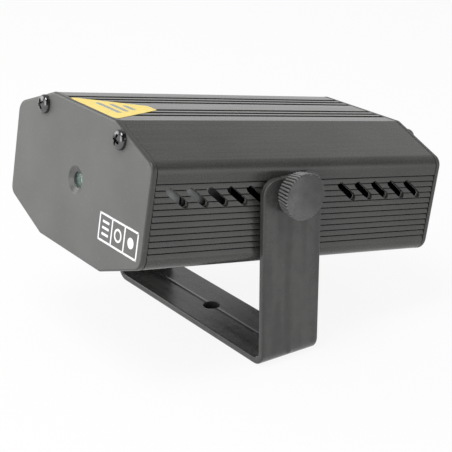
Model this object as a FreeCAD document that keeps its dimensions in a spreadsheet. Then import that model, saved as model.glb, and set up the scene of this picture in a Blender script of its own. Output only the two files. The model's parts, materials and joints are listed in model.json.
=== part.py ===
import FreeCAD, Part
import math
import os
import types

import Sketcher

# Small laser show projector: an extruded housing closed by two plates, tilting in a U bracket.
# Millimetres. The origin is the bracket's mounting hole on its underside, Z is up and the beam
# leaves towards -X. Pieces of the head are drawn about the tilt axis, level, and tilted together.

DIMENSIONS = {
    # Housing section and end plates
    "body_length": 130.0,
    "front_reach": 57.0,
    "plate_thickness": 2.0,
    "plate_width": 95.0,
    "plate_height": 53.2,
    "top_width": 44.0,
    "side_height": 35.0,
    "pivot_rise": 8.0,
    "plate_overhang": 0.1,
    "wall": 2.2,
    "shoulder_radius": 5.0,
    "lower_radius": 4.0,
    "crown_radius": 2.0,
    "keel_radius": 1.8,
    "plate_edge_radius": 0.9,
    # Clapboard sides, grooved top and vents
    "slat_top": 3.5,
    "slat_pitch": 2.15,
    "slat_depth": 0.7,
    "slat_count": 12,
    "groove_start": 5.0,
    "groove_pitch": 4.2,
    "groove_width": 2.2,
    "groove_depth": 0.8,
    "groove_count": 3,
    "vent_width": 2.53,
    "vent_run": 8.17,
    "vent_angle": 34.15,
    "vent_count": 5,
    "vent_pitch": 8.13,
    "vent_drop": 1.6,
    "front_vent": 11.35,
    "rear_vent": 12.8,
    # Plate screws and the channels they cut into
    "screw_spread": 26.8,
    "screw_rise": 13.0,
    "screw_head_width": 7.0,
    "screw_head_height": 2.4,
    "screw_head_crown": 1.5,
    "screw_shank": 3.4,
    "screw_reach": 12.0,
    "screw_hole_gap": 0.2,
    "channel_width": 6.2,
    "recess_span": 3.8,
    "recess_slot": 0.9,
    "recess_depth": 1.3,
    # Fits
    "thread_gap": 0.05,
    "fit_gap": 0.1,
    "clamp_gap": 0.1,
    # Bracket
    "pivot_height": 64.5,
    "tilt_angle": 9.7,
    "leg_gap": 0.4,
    "bracket_thickness": 2.5,
    "strap_width": 25.4,
    "leg_rise": 6.0,
    "leg_corner": 6.0,
    "bend_radius": 2.8,
    "base_hole": 6.6,
    "stud_hole": 5.4,
    # Thumb screws
    "knob_width": 17.0,
    "knob_back_width": 15.2,
    "knob_length": 6.0,
    "knob_teeth": 40,
    "knob_tooth_depth": 0.5,
    "knob_notch_share": 0.8,
    "knob_rim": 0.8,
    "washer_width": 12.0,
    "washer_thickness": 0.8,
    "stud_width": 4.8,
    "stud_grip": 4.2,
    "insert_width": 7.6,
    "insert_flange": 11.0,
    "insert_length": 9.0,
    # Aperture and its lens
    "countersink_width": 9.7,
    "aperture_width": 5.8,
    "aperture_land": 0.8,
    "lens_width": 9.0,
    "lens_thickness": 1.6,
    "retainer_width": 14.0,
    "retainer_lip": 1.4,
    "retainer_bore": 6.6,
    # Bench and the rails it slides in
    "bench_drop": 21.0,
    "bench_thickness": 1.5,
    "rail_depth": 1.0,
    "rail_thickness": 1.2,
    "tab_start": 4.1,
    "tab_length": 10.2,
    "tab_slit": 0.8,
    "tab_height": 24.0,
    "tab_inset": 1.2,
    # Lasers
    "laser_width": 12.0,
    "laser_nose": 7.0,
    "laser_nose_length": 3.0,
    "laser_setback": 10.0,
    "green_tail_gap": 9.0,
    "red_tail_gap": 17.0,
    "mount_setback": 4.0,
    "mount_tail": 2.0,
    "mount_wall": 2.0,
    "mount_cover": 5.0,
    "mount_side_gap": 3.0,
    # Mirror and combiner
    "fold_setback": 35.0,
    "mirror_half": 6.0,
    "mirror_glass": 1.0,
    "mirror_margin": 0.5,
    "mirror_top": 6.0,
    "mirror_foot": 6.0,
    "post_thickness": 5.0,
    # Turning grating
    "grating_setback": 9.0,
    "grating_offset": 8.8,
    "grating_width": 24.0,
    "grating_thickness": 1.2,
    "rim_thickness": 1.0,
    "rim_length": 2.4,
    "hub_width": 6.0,
    "hub_flange": 9.0,
    "hub_flange_thickness": 1.0,
    "hub_length": 3.6,
    "shaft_width": 2.0,
    "shaft_length": 10.0,
    "shaft_overhang": 0.6,
    "motor_width": 11.0,
    "motor_length": 14.0,
    "motor_gap": 1.0,
    "motor_mount_length": 9.0,
    "motor_mount_inset": 2.0,
    "motor_mount_side": 0.8,
    "motor_mount_cover": 2.0,
    # Control board
    "board_setback": 7.0,
    "board_length": 21.0,
    "board_side_gap": 5.8,
    "board_thickness": 1.6,
    "standoff_height": 5.0,
    "standoff_width": 5.0,
    "standoff_inset": 3.0,
    "board_screw_head": 4.4,
    "board_screw_head_height": 1.6,
    "board_screw_shank": 2.4,
    "board_screw_reach": 5.0,
    "board_hole_gap": 0.15,
    # Rear controls
    "control_rise": 5.5,
    "jack_width": 9.0,
    "jack_height": 11.0,
    "jack_length": 14.0,
    "jack_nose": 7.6,
    "jack_nose_proud": 0.4,
    "jack_bore": 5.6,
    "jack_bore_depth": 9.5,
    "jack_pin_width": 2.0,
    "jack_pin_length": 8.5,
    "switch_width": 8.0,
    "switch_height": 8.4,
    "switch_length": 8.5,
    "switch_setback": 2.5,
    "button_width": 5.0,
    "button_proud": 2.2,
    "button_stem": 3.0,
    "button_stem_length": 4.0,
    "button_stroke": 0.8,
    "panel_hole_gap": 0.3,
    "pot_width": 11.0,
    "pot_height": 10.8,
    "pot_length": 9.0,
    "pot_setback": 2.0,
    "bushing_width": 6.8,
    "bushing_proud": 0.8,
    "speed_shaft_width": 4.0,
    "speed_shaft_length": 15.0,
    "speed_knob_width": 12.0,
    "speed_knob_length": 9.0,
    "speed_knob_gap": 0.4,
    "speed_knob_crown": 0.8,
    "speed_knob_cap": 2.0,
    "pointer_width": 1.0,
    "pointer_depth": 0.6,
    "mic_width": 9.6,
    "mic_length": 5.0,
    "mic_hole": 3.0,
    "grommet_wall": 0.7,
    # Board components and leads
    "capacitor_inset": 8.0,
    "capacitor_offset": 10.0,
    "capacitor_width": 8.0,
    "capacitor_height": 11.0,
    "chip_inset": 11.0,
    "chip_offset": -12.0,
    "chip_length": 8.0,
    "chip_width": 8.0,
    "chip_height": 1.8,
    "socket_setback": 4.0,
    "socket_length": 5.0,
    "socket_width": 6.0,
    "socket_height": 3.0,
    "lead_width": 1.8,
    "lead_bend": 2.6,
    "motor_lead_offset": 19.0,
    "motor_lead_turn": 12.0,
}

LEVEL = "XY_Plane"
ALONG = "XZ_Plane"
ACROSS = "YZ_Plane"


class Size:
    """A size from the sheet, kept as its number and as the expression that gives it."""

    def __init__(self, value, text):
        self.value = value
        self.text = text

    def join(self, sign, other, value):
        return Size(value, f"({self.text} {sign} {other.text})")

    def __add__(self, other):
        other = size(other)
        return self.join("+", other, self.value + other.value)

    def __sub__(self, other):
        other = size(other)
        return self.join("-", other, self.value - other.value)

    def __mul__(self, other):
        other = size(other)
        return self.join("*", other, self.value * other.value)

    def __truediv__(self, other):
        other = size(other)
        return self.join("/", other, self.value / other.value)

    def __neg__(self):
        return Size(-self.value, f"(0 - {self.text})")


def size(amount):
    if isinstance(amount, Size):
        return amount
    return Size(float(amount), f"({float(amount)!r})")


def sine(angle):
    return Size(math.sin(math.radians(angle.value)), f"sin({angle.text} * 1deg)")


def cosine(angle):
    return Size(math.cos(math.radians(angle.value)), f"cos({angle.text} * 1deg)")


def root(amount):
    return Size(math.sqrt(amount.value), f"sqrt({amount.text})")


# The document and its sheet

doc = FreeCAD.newDocument("LaserShowProjector")
sheet = doc.addObject("Spreadsheet::Sheet", "Dimensions")
for row, (alias, number) in enumerate(DIMENSIONS.items(), start=1):
    sheet.set(f"A{row}", alias)
    sheet.set(f"B{row}", str(number))
    sheet.setAlias(f"B{row}", alias)
doc.recompute()
sizes = {alias: Size(number, f"Dimensions.{alias}") for alias, number in DIMENSIONS.items()}
D = types.SimpleNamespace(**sizes)
parts = []


# Sketches and features

def bind(thing, path, amount):
    thing.setExpression(path, size(amount).text)


def new_body(label):
    body = doc.addObject("PartDesign::Body", label)
    body.Label = label
    parts.append(body)
    return body


def sketch_at(body, plane, level):
    """Sketch parallel to an origin plane, at a level along the axis that the plane faces."""
    sketch = body.newObject("Sketcher::SketchObject", body.Label + "_sketch")
    support = next(item for item in body.Origin.OriginFeatures if item.Role == plane)
    sketch.AttachmentSupport = [(support, "")]
    sketch.MapMode = "FlatFace"
    bind(sketch, "AttachmentOffset.Base.z", -size(level) if plane == ALONG else level)
    return sketch


def across_to(geometry, vertex, u):
    """Constraint that holds one point of a sketch at its first coordinate, with that size."""
    return Sketcher.Constraint("DistanceX", -1, 1, geometry, vertex, size(u).value), size(u)


def up_to(geometry, vertex, v):
    """Constraint that holds one point of a sketch at its second coordinate, with that size."""
    return Sketcher.Constraint("DistanceY", -1, 1, geometry, vertex, size(v).value), size(v)


def constrain(sketch, joins, bound):
    """Add the joins between lines, then the constraints whose sizes are bound to the sheet."""
    sketch.addConstraint(joins + [constraint for constraint, amount in bound])
    first = sketch.ConstraintCount - len(bound)
    for index, (constraint, amount) in enumerate(bound, start=first):
        bind(sketch, f"Constraints[{index}]", amount)


def polygon(corners):
    """Closed run of straight lines through the corners."""
    def draw(sketch):
        first = sketch.GeometryCount
        count = len(corners)
        points = [FreeCAD.Vector(size(u).value, size(v).value, 0) for u, v in corners]
        lines = [Part.LineSegment(points[i], points[(i + 1) % count]) for i in range(count)]
        sketch.addGeometry(lines, False)
        joins = []
        bound = []
        for i, (u, v) in enumerate(corners):
            joins.append(Sketcher.Constraint("Coincident", first + i, 2, first + (i + 1) % count, 1))
            bound += [across_to(first + i, 1, u), up_to(first + i, 1, v)]
        constrain(sketch, joins, bound)
    return draw


def rectangle(left, right, low, high):
    return polygon([(left, low), (right, low), (right, high), (left, high)])


def circle(u, v, width):
    def draw(sketch):
        centre = FreeCAD.Vector(size(u).value, size(v).value, 0)
        shape = Part.Circle(centre, FreeCAD.Vector(0, 0, 1), width.value / 2)
        index = sketch.addGeometry(shape, False)
        radius = (Sketcher.Constraint("Radius", index, width.value / 2), width / 2)
        constrain(sketch, [], [across_to(index, 3, u), up_to(index, 3, v), radius])
    return draw


def obround(u, v, run, width, angle):
    """Slot with round ends about (u, v), falling at an angle along its first axis."""
    def draw(sketch):
        along = (cosine(angle) * run / 2, -sine(angle) * run / 2)
        aside = (sine(angle) * width / 2, cosine(angle) * width / 2)
        start = (u - along[0], v - along[1])
        end = (u + along[0], v + along[1])
        corners = [
            (start[0] + aside[0], start[1] + aside[1]),
            (end[0] + aside[0], end[1] + aside[1]),
            (end[0] - aside[0], end[1] - aside[1]),
            (start[0] - aside[0], start[1] - aside[1]),
        ]
        points = [FreeCAD.Vector(a.value, b.value, 0) for a, b in corners]
        reach = FreeCAD.Vector(along[0].value, along[1].value, 0).normalize() * (width.value / 2)
        tips = [
            FreeCAD.Vector(end[0].value, end[1].value, 0) + reach,
            FreeCAD.Vector(start[0].value, start[1].value, 0) - reach,
        ]
        first = sketch.addGeometry(Part.LineSegment(points[0], points[1]), False)
        sketch.addGeometry(Part.LineSegment(points[2], points[3]), False)
        sketch.addGeometry(Part.Arc(points[1], tips[0], points[2]), False)
        sketch.addGeometry(Part.Arc(points[3], tips[1], points[0]), False)
        # an arc drawn clockwise is stored the other way round, so its ends swap
        joins = [
            Sketcher.Constraint("Coincident", first + 2, 2, first, 2),
            Sketcher.Constraint("Coincident", first + 2, 1, first + 1, 1),
            Sketcher.Constraint("Coincident", first + 3, 2, first + 1, 2),
            Sketcher.Constraint("Coincident", first + 3, 1, first, 1),
        ]
        bound = []
        for line, vertex, (a, b) in zip((0, 0, 1, 1), (1, 2, 1, 2), corners):
            bound += [across_to(first + line, vertex, a), up_to(first + line, vertex, b)]
        # with both ends held, one coordinate of its centre settles an arc
        bound += [across_to(first + 2, 3, end[0]), across_to(first + 3, 3, start[0])]
        constrain(sketch, joins, bound)
    return draw


def extrude(body, plane, level, length, *loops):
    """Pad of the loops from level to level + length."""
    sketch = sketch_at(body, plane, level)
    for draw in loops:
        draw(sketch)
    feature = body.newObject("PartDesign::Pad", body.Label + "_pad")
    feature.Profile = (sketch, [""])
    bind(feature, "Length", length)
    feature.Reversed = plane == ALONG
    doc.recompute()
    return feature


def cut(body, plane, level, length, *loops):
    """Pocket of the loops from level to level + length, which has to take material away."""
    before = body.Shape.Volume
    sketch = sketch_at(body, plane, level)
    for draw in loops:
        draw(sketch)
    feature = body.newObject("PartDesign::Pocket", body.Label + "_pocket")
    feature.Profile = (sketch, [""])
    bind(feature, "Length", length)
    feature.Reversed = plane != ALONG
    doc.recompute()
    if body.Shape.Volume >= before:
        raise RuntimeError(f"a cut of {body.Label} takes nothing away")
    return feature


def repeat_down(body, cut_feature, pitch, count):
    """Copies of a cut, one pitch apart, down the sketch that it was drawn on."""
    pattern = body.newObject("PartDesign::LinearPattern", body.Label + "_row")
    pattern.Originals = [cut_feature]
    pattern.Direction = (cut_feature.Profile[0], ["V_Axis"])
    pattern.Reversed = True
    bind(pattern, "Length", pitch * (count - 1))
    bind(pattern, "Occurrences", count)
    body.Tip = pattern
    doc.recompute()


def repeat_round(body, cut_feature, count):
    """Copies of a cut, evenly round the normal of the sketch that it was drawn on."""
    pattern = body.newObject("PartDesign::PolarPattern", body.Label + "_ring")
    pattern.Originals = [cut_feature]
    pattern.Axis = (cut_feature.Profile[0], ["N_Axis"])
    pattern.Angle = 360.0
    bind(pattern, "Occurrences", count)
    body.Tip = pattern
    doc.recompute()


def turn(body, axis, profile, level=0.0, kind="PartDesign::Revolution"):
    """Solid, or groove, of a profile turned about the X or Y axis of a level sketch."""
    sketch = sketch_at(body, LEVEL, level)
    polygon(profile)(sketch)
    feature = body.newObject(kind, body.Label + "_turned")
    feature.Profile = (sketch, [""])
    feature.ReferenceAxis = (sketch, ["H_Axis" if axis == "X" else "V_Axis"])
    feature.Angle = 360.0
    doc.recompute()
    return feature


def turn_upright(body, profile):
    """Solid of a (radius, height) profile turned about Z."""
    sketch = sketch_at(body, ALONG, 0.0)
    polygon(profile)(sketch)
    feature = body.newObject("PartDesign::Revolution", body.Label + "_turned")
    feature.Profile = (sketch, [""])
    feature.ReferenceAxis = (sketch, ["V_Axis"])
    feature.Angle = 360.0
    doc.recompute()


def round_edges(body, radius, chosen):
    """Fillet on the edges that the test chooses."""
    tip = body.Tip
    names = [f"Edge{i}" for i, edge in enumerate(tip.Shape.Edges, start=1) if chosen(edge)]
    feature = body.newObject("PartDesign::Fillet", body.Label + "_fillet")
    feature.Base = (tip, names)
    bind(feature, "Radius", radius)
    doc.recompute()


def runs_along_x(y, z):
    """Test for the straight edge along X at (y, z)."""
    def chosen(edge):
        ends = [vertex.Point for vertex in edge.Vertexes]
        near = all(abs(p.y - y.value) < 1e-4 and abs(p.z - z.value) < 1e-4 for p in ends)
        return len(ends) == 2 and near
    return chosen


def in_plane_x(x):
    """Test for an edge that lies wholly in the plane at x."""
    def chosen(edge):
        box = edge.BoundBox
        return abs(box.XMin - x.value) < 1e-4 and abs(box.XMax - x.value) < 1e-4
    return chosen


def place_in_head(body, x=0.0, y=0.0, z=0.0):
    """Seat a piece at a point of the level head, and tilt it about the tilt axis."""
    x = size(x)
    z = size(z)
    turned = FreeCAD.Rotation(FreeCAD.Vector(0, 1, 0), D.tilt_angle.value)
    body.Placement = FreeCAD.Placement(FreeCAD.Vector(), turned)
    bind(body, "Placement.Base.x", x * cosine(D.tilt_angle) + z * sine(D.tilt_angle))
    bind(body, "Placement.Base.y", y)
    bind(body, "Placement.Base.z", D.pivot_height - x * sine(D.tilt_angle) + z * cosine(D.tilt_angle))
    body.setExpression("Placement.Rotation.Angle", f"{D.tilt_angle.text} * 1deg")


# Places that several pieces share, in the level head about the tilt axis

front_face = -D.front_reach
front_inside = front_face + D.plate_thickness
rear_face = front_face + D.body_length
rear_inside = rear_face - D.plate_thickness
housing_length = rear_inside - front_inside
housing_side = D.plate_width / 2 - D.plate_overhang
housing_inside = housing_side - D.wall
beam_z = -D.pivot_rise
bench_top = -D.bench_drop
leg_inside = D.plate_width / 2 + D.leg_gap
leg_outside = leg_inside + D.bracket_thickness
washer_seat = leg_outside + D.clamp_gap
knob_seat = washer_seat + D.washer_thickness + D.clamp_gap
flange_thickness = leg_inside - housing_side - D.clamp_gap
board_top = bench_top + D.standoff_height + D.board_thickness
control_z = board_top + D.control_rise
board_width = (housing_inside - D.board_side_gap) * 2
board_end = rear_inside - D.board_setback
board_start = board_end - D.board_length
grating_x = front_inside + D.grating_setback
fold_x = front_inside + D.fold_setback
laser_start = fold_x + D.laser_setback
mount_start = laser_start + D.mount_setback
mount_end = board_start - D.red_tail_gap - D.mount_tail
mount_width = D.laser_width + D.mount_wall * 2
red_offset = housing_side - D.insert_length - D.mount_side_gap - mount_width / 2

# Rear controls in a row between the board screws, with equal gaps
grommet_width = D.mic_width + (D.thread_gap + D.grommet_wall) * 2
control_reach = board_width / 2 - D.standoff_inset - D.board_screw_head / 2
control_widths = D.jack_width + grommet_width + D.switch_width + D.pot_width
control_gap = (control_reach * 2 - control_widths) / 5
jack_offset = control_reach - control_gap - D.jack_width / 2
mic_offset = jack_offset - (D.jack_width + grommet_width) / 2 - control_gap
switch_offset = mic_offset - (grommet_width + D.switch_width) / 2 - control_gap
pot_offset = switch_offset - (D.switch_width + D.pot_width) / 2 - control_gap


def octagon(inset):
    """Corners of the eight-sided section, with each side moved in by inset."""
    run = (D.plate_width - D.top_width) / 2
    rise = (D.plate_height - D.side_height) / 2
    slope = root(run * run + rise * rise)
    inset = size(inset)
    flat_y = D.top_width / 2 - inset * (slope - run) / rise
    flat_z = D.plate_height / 2 - inset
    side_y = D.plate_width / 2 - inset
    side_z = D.side_height / 2 - inset * (slope - rise) / run
    right = [(flat_y, flat_z), (side_y, side_z), (side_y, -side_z), (flat_y, -flat_z)]
    left = [(-y, -z) for y, z in right]
    return [(y, z - D.pivot_rise) for y, z in right + left]


def round_section(body, inset):
    """Round the eight long corners of a section that is moved in by inset."""
    radii = [D.crown_radius, D.shoulder_radius, D.lower_radius, D.keel_radius]
    for (y, z), radius in zip(octagon(inset), radii + radii[::-1]):
        round_edges(body, radius, runs_along_x(y, z))


# Bracket

def build_bracket():
    """Moulded U strap, bent up at both ends, that stands or is screwed down by its base."""
    body = new_body("bracket")
    top = D.pivot_height + D.leg_rise
    base = D.bracket_thickness
    right = [(leg_outside, size(0)), (leg_outside, top), (leg_inside, top), (leg_inside, base)]
    left = [(-y, z) for y, z in reversed(right)]
    extrude(body, ACROSS, -D.strap_width / 2, D.strap_width, polygon(right + left))
    for side in (1, -1):
        round_edges(body, D.bend_radius + base, runs_along_x(leg_outside * side, size(0)))
        round_edges(body, D.bend_radius, runs_along_x(leg_inside * side, base))

    def top_corner(edge):
        box = edge.BoundBox
        return box.ZMin > top.value - 1e-4 and box.XLength < 1e-4

    round_edges(body, D.leg_corner, top_corner)
    cut(body, LEVEL, size(0), base, circle(0, 0, D.base_hole))
    cut(body, ALONG, -leg_outside, leg_outside * 2, circle(0, D.pivot_height, D.stud_hole))


# Housing and plates

def top_grooves():
    """Narrow square grooves along the top, in two bands."""
    floor = D.plate_height / 2 - D.plate_overhang - D.groove_depth - D.pivot_rise
    grooves = []
    for n in range(int(D.groove_count.value)):
        inner = D.groove_start + D.groove_pitch * n
        outer = inner + D.groove_width
        for side in (1, -1):
            grooves.append(rectangle(inner * side, outer * side, floor, floor + D.groove_depth * 2))
    return grooves


def slat_notches():
    """Notch above the first slat on each side: a step in under the lip, running out to the next."""
    notches = []
    for side in (1, -1):
        inner = (housing_side - D.slat_depth) * side
        outer = (housing_side + D.slat_depth) * side
        foot = D.slat_top - D.slat_pitch * 2
        notches.append(polygon([(inner, D.slat_top), (outer, D.slat_top), (outer, foot)]))
    return notches


def vents():
    """Two rows of slanted slots, which pass through both sides."""
    rows = []
    for n in range(int(D.vent_count.value)):
        for x in (front_face + D.front_vent + D.vent_pitch * n, rear_face - D.rear_vent - D.vent_pitch * n):
            rows.append(obround(x, -D.vent_drop, D.vent_run, D.vent_width, D.vent_angle))
    return rows


def build_housing():
    """Extruded tube with channels for the plate screws and rails for the bench."""
    body = new_body("housing_shell")
    outside = octagon(D.plate_overhang)
    inside = octagon(D.plate_overhang + D.wall)
    extrude(body, ACROSS, front_inside, housing_length, polygon(outside), polygon(inside))
    round_section(body, D.plate_overhang)
    cut(body, ACROSS, front_inside, housing_length, *top_grooves())
    first_slat = cut(body, ACROSS, front_inside, housing_length, *slat_notches())
    repeat_down(body, first_slat, D.slat_pitch, D.slat_count)
    screw_axes = [(D.screw_spread * side, D.screw_rise) for side in (1, -1)]
    channels = [circle(y, z, D.channel_width) for y, z in screw_axes]
    extrude(body, ACROSS, front_inside, housing_length, *channels)
    rails = []
    for side in (1, -1):
        edges = (housing_inside - D.rail_depth, housing_inside + D.wall / 2)
        for low in (bench_top - D.bench_thickness - D.rail_thickness, bench_top + D.fit_gap):
            rails.append(rectangle(edges[0] * side, edges[1] * side, low, low + D.rail_thickness))
    extrude(body, ACROSS, front_inside, housing_length, *rails)
    bores = [circle(y, z, D.screw_shank + D.thread_gap * 2) for y, z in screw_axes]
    cut(body, ACROSS, front_inside, housing_length, *bores)
    cut(body, ALONG, -D.plate_width / 2, D.plate_width, *vents())
    pivot_hole = circle(0, 0, D.insert_width + D.thread_gap * 2)
    cut(body, ALONG, -D.plate_width / 2, D.plate_width, pivot_hole)
    place_in_head(body)


def build_plate(label, level, outer_face, holes):
    """End plate with rounded corners, a softened outer edge and its holes."""
    body = new_body(label)
    extrude(body, ACROSS, level, D.plate_thickness, polygon(octagon(0)))
    round_section(body, 0)
    round_edges(body, D.plate_edge_radius, in_plane_x(outer_face))
    hole_width = D.screw_shank + D.screw_hole_gap * 2
    screw_holes = [circle(D.screw_spread * side, D.screw_rise, hole_width) for side in (1, -1)]
    cut(body, ACROSS, level, D.plate_thickness, *screw_holes, *holes)
    place_in_head(body)
    return body


def build_front_plate():
    """Front plate, whose aperture narrows inwards as a cone to a short land."""
    body = build_plate("front_plate", front_face, front_face, [])
    cone = [
        (front_face, size(0)),
        (front_inside, size(0)),
        (front_inside, D.aperture_width / 2),
        (front_inside - D.aperture_land, D.aperture_width / 2),
        (front_face, D.countersink_width / 2),
    ]
    turn(body, "X", cone, beam_z, "PartDesign::Groove")


def build_rear_plate():
    """Rear plate with the holes of the inlet, the button, the speed control and the microphone."""
    holes = [
        circle(jack_offset, control_z, D.jack_nose + D.panel_hole_gap * 2),
        circle(switch_offset, control_z, D.button_width + D.panel_hole_gap * 2),
        circle(pot_offset, control_z, D.bushing_width + D.panel_hole_gap * 2),
        circle(mic_offset, control_z, D.mic_hole),
    ]
    build_plate("rear_plate", rear_inside, rear_face, holes)


def build_plate_screws():
    """Four cross-recess pan-head screws, two through each plate."""
    half = D.recess_span / 2
    slot = D.recess_slot / 2
    arm = [(half, slot), (slot, slot), (slot, half)]
    cross = arm + [(-y, z) for y, z in reversed(arm)] + [(-y, -z) for y, z in arm]
    cross += [(y, -z) for y, z in reversed(arm)]
    for end, out, seat in (("front", -1, front_face), ("rear", 1, rear_face)):
        for name, side in (("near", -1), ("far", 1)):
            body = new_body(f"{end}_screw_{name}")
            crown = D.screw_head_height * out
            tip = -(D.screw_reach * out)
            head_radius = D.screw_head_width / 2
            shank_radius = D.screw_shank / 2
            profile = [(crown, size(0)), (crown, head_radius), (size(0), head_radius)]
            profile += [(size(0), shank_radius), (tip, shank_radius), (tip, size(0))]
            turn(body, "X", profile)
            round_edges(body, D.screw_head_crown, in_plane_x(crown))
            start = crown if out < 0 else crown - D.recess_depth
            cut(body, ACROSS, start, D.recess_depth, polygon(cross))
            place_in_head(body, seat, D.screw_spread * side, D.screw_rise)


# Thumb screws, their washers and the inserts they run in

def build_thumb_screw(name, side):
    """Knob moulded on a stud, the washer under it and the flanged insert in the housing side."""
    insert = new_body(f"{name}_insert")
    bore = D.stud_width / 2 + D.thread_gap
    flange_face = (housing_side + flange_thickness) * side
    inner_end = (housing_side - D.insert_length) * side
    turn(insert, "Y", [
        (bore, flange_face),
        (D.insert_flange / 2, flange_face),
        (D.insert_flange / 2, housing_side * side),
        (D.insert_width / 2, housing_side * side),
        (D.insert_width / 2, inner_end),
        (bore, inner_end),
    ])
    place_in_head(insert)

    washer = new_body(f"{name}_washer")
    washer_faces = (washer_seat * side, (washer_seat + D.washer_thickness) * side)
    turn(washer, "Y", [
        (bore, washer_faces[0]),
        (D.washer_width / 2, washer_faces[0]),
        (D.washer_width / 2, washer_faces[1]),
        (bore, washer_faces[1]),
    ])
    place_in_head(washer)

    stud = new_body(f"{name}_stud")
    grip_end = (knob_seat + D.stud_grip) * side
    turn(stud, "Y", [
        (size(0), grip_end),
        (D.stud_width / 2, grip_end),
        (D.stud_width / 2, inner_end),
        (size(0), inner_end),
    ])
    place_in_head(stud)

    knob = new_body(f"{name}_knob")
    back = knob_seat * side
    front = (knob_seat + D.knob_length) * side
    radius = D.knob_width / 2
    turn(knob, "Y", [
        (0, back),
        (D.knob_back_width / 2, back),
        (radius, front - D.knob_rim * side),
        (radius - D.knob_rim, front),
        (0, front),
    ])
    back_notch = sketch_at(knob, ALONG, back)
    ridge_notch(D.knob_back_width / 2)(back_notch)
    front_notch = sketch_at(knob, ALONG, front)
    ridge_notch(radius)(front_notch)
    notch = knob.newObject("PartDesign::SubtractiveLoft", knob.Label + "_notch")
    notch.Profile = (back_notch, [""])
    notch.Sections = [(front_notch, [""])]
    notch.Ruled = True
    doc.recompute()
    repeat_round(knob, notch, D.knob_teeth)
    start = knob_seat if side > 0 else -(knob_seat + D.stud_grip)
    cut(knob, ALONG, start, D.stud_grip, circle(0, 0, D.stud_width + D.thread_gap * 2))
    place_in_head(knob)


def ridge_notch(radius):
    """Pointed notch between two ridges of a knob, which leaves a narrow land on each ridge."""
    opening = radius * math.pi / D.knob_teeth * D.knob_notch_share
    root_radius = radius - D.knob_tooth_depth
    rim_radius = radius + D.knob_tooth_depth
    return polygon([(root_radius, 0), (rim_radius, -opening * 2), (rim_radius, opening * 2)])


# Lens and retainer

def build_lens():
    """Lens disc against the plate, and the stepped ring that holds it there."""
    lens = new_body("aperture_lens")
    lens_radius = D.lens_width / 2
    turn(lens, "X", [(0, 0), (0, lens_radius), (D.lens_thickness, lens_radius), (D.lens_thickness, 0)])
    place_in_head(lens, front_inside, 0, beam_z)

    ring = new_body("lens_retainer")
    pocket = D.lens_width / 2 + D.thread_gap
    length = D.lens_thickness + D.thread_gap + D.retainer_lip
    turn(ring, "X", [
        (0, pocket),
        (0, D.retainer_width / 2),
        (length, D.retainer_width / 2),
        (length, D.retainer_bore / 2),
        (D.lens_thickness + D.thread_gap, D.retainer_bore / 2),
        (D.lens_thickness + D.thread_gap, pocket),
    ])
    place_in_head(ring, front_inside, 0, beam_z)


# Bench and lasers

def build_bench():
    """Bench plate that slides in the rails, with two upright tabs at each side near the front."""
    body = new_body("optics_bench")
    half = housing_inside - D.fit_gap
    start = front_inside + D.fit_gap
    end = rear_inside - D.fit_gap
    sheet_metal = rectangle(start, end, -half, half)
    extrude(body, LEVEL, bench_top - D.bench_thickness, D.bench_thickness, sheet_metal)
    tabs = []
    for side in (1, -1):
        outer = (housing_inside - D.tab_inset) * side
        inner = outer - D.bench_thickness * side
        for n in range(2):
            left = front_face + D.tab_start + (D.tab_length + D.tab_slit) * n
            tabs.append(rectangle(left, left + D.tab_length, inner, outer))
    extrude(body, LEVEL, bench_top, D.tab_height, *tabs)
    place_in_head(body)


def build_laser(colour, offset, tail_gap):
    """Laser module with a narrower nose, and the clamp block that seats it on the bench."""
    module = new_body(f"{colour}_laser")
    length = board_start - tail_gap - laser_start
    nose = D.laser_nose_length
    radius = D.laser_width / 2
    turn(module, "X", [
        (-nose, 0),
        (-nose, D.laser_nose / 2),
        (0, D.laser_nose / 2),
        (0, radius),
        (length, radius),
        (length, 0),
    ])
    place_in_head(module, laser_start, offset, beam_z)

    mount = new_body(f"{colour}_laser_mount")
    half = mount_width / 2
    height = beam_z + D.laser_width / 2 + D.mount_cover - bench_top
    sides = (offset - half, offset + half)
    extrude(mount, LEVEL, bench_top, height, rectangle(mount_start, mount_end, *sides))
    bore = circle(offset, beam_z, D.laser_width + D.thread_gap * 2)
    cut(mount, ACROSS, mount_start, mount_end - mount_start, bore)
    place_in_head(mount)


def build_combiner():
    """Fold mirror on its block, and the combiner glass on its post, both at 45 degrees."""
    half = D.mirror_half
    red_y = -red_offset
    block = new_body("fold_mirror_block")
    foot_height = beam_z + D.mirror_top - bench_top
    extrude(block, LEVEL, bench_top, foot_height, polygon([
        (fold_x + half, red_y - half),
        (fold_x - half, red_y + half),
        (fold_x - half, red_y - half),
    ]))
    place_in_head(block)

    step = D.mirror_glass / math.sqrt(2)
    reach = half - D.mirror_margin
    mirror = new_body("fold_mirror")
    glass_base = beam_z - D.mirror_foot
    extrude(mirror, LEVEL, glass_base, D.mirror_foot + D.mirror_top, polygon([
        (fold_x + reach, red_y - reach),
        (fold_x + reach + step, red_y - reach + step),
        (fold_x - reach + step, red_y + reach + step),
        (fold_x - reach, red_y + reach),
    ]))
    place_in_head(mirror)

    def slanted_bar(width, half_length):
        aside = width / 2 / math.sqrt(2)
        return polygon([
            (fold_x + half_length - aside, -half_length - aside),
            (fold_x + half_length + aside, -half_length + aside),
            (fold_x - half_length + aside, half_length + aside),
            (fold_x - half_length - aside, half_length - aside),
        ])

    post = new_body("combiner_post")
    extrude(post, LEVEL, bench_top, glass_base - bench_top, slanted_bar(D.post_thickness, half))
    place_in_head(post)
    glass = new_body("combiner_glass")
    extrude(glass, LEVEL, glass_base, D.mirror_foot + D.mirror_top, slanted_bar(D.mirror_glass, reach))
    place_in_head(glass)


# Turning grating and its motor

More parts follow.
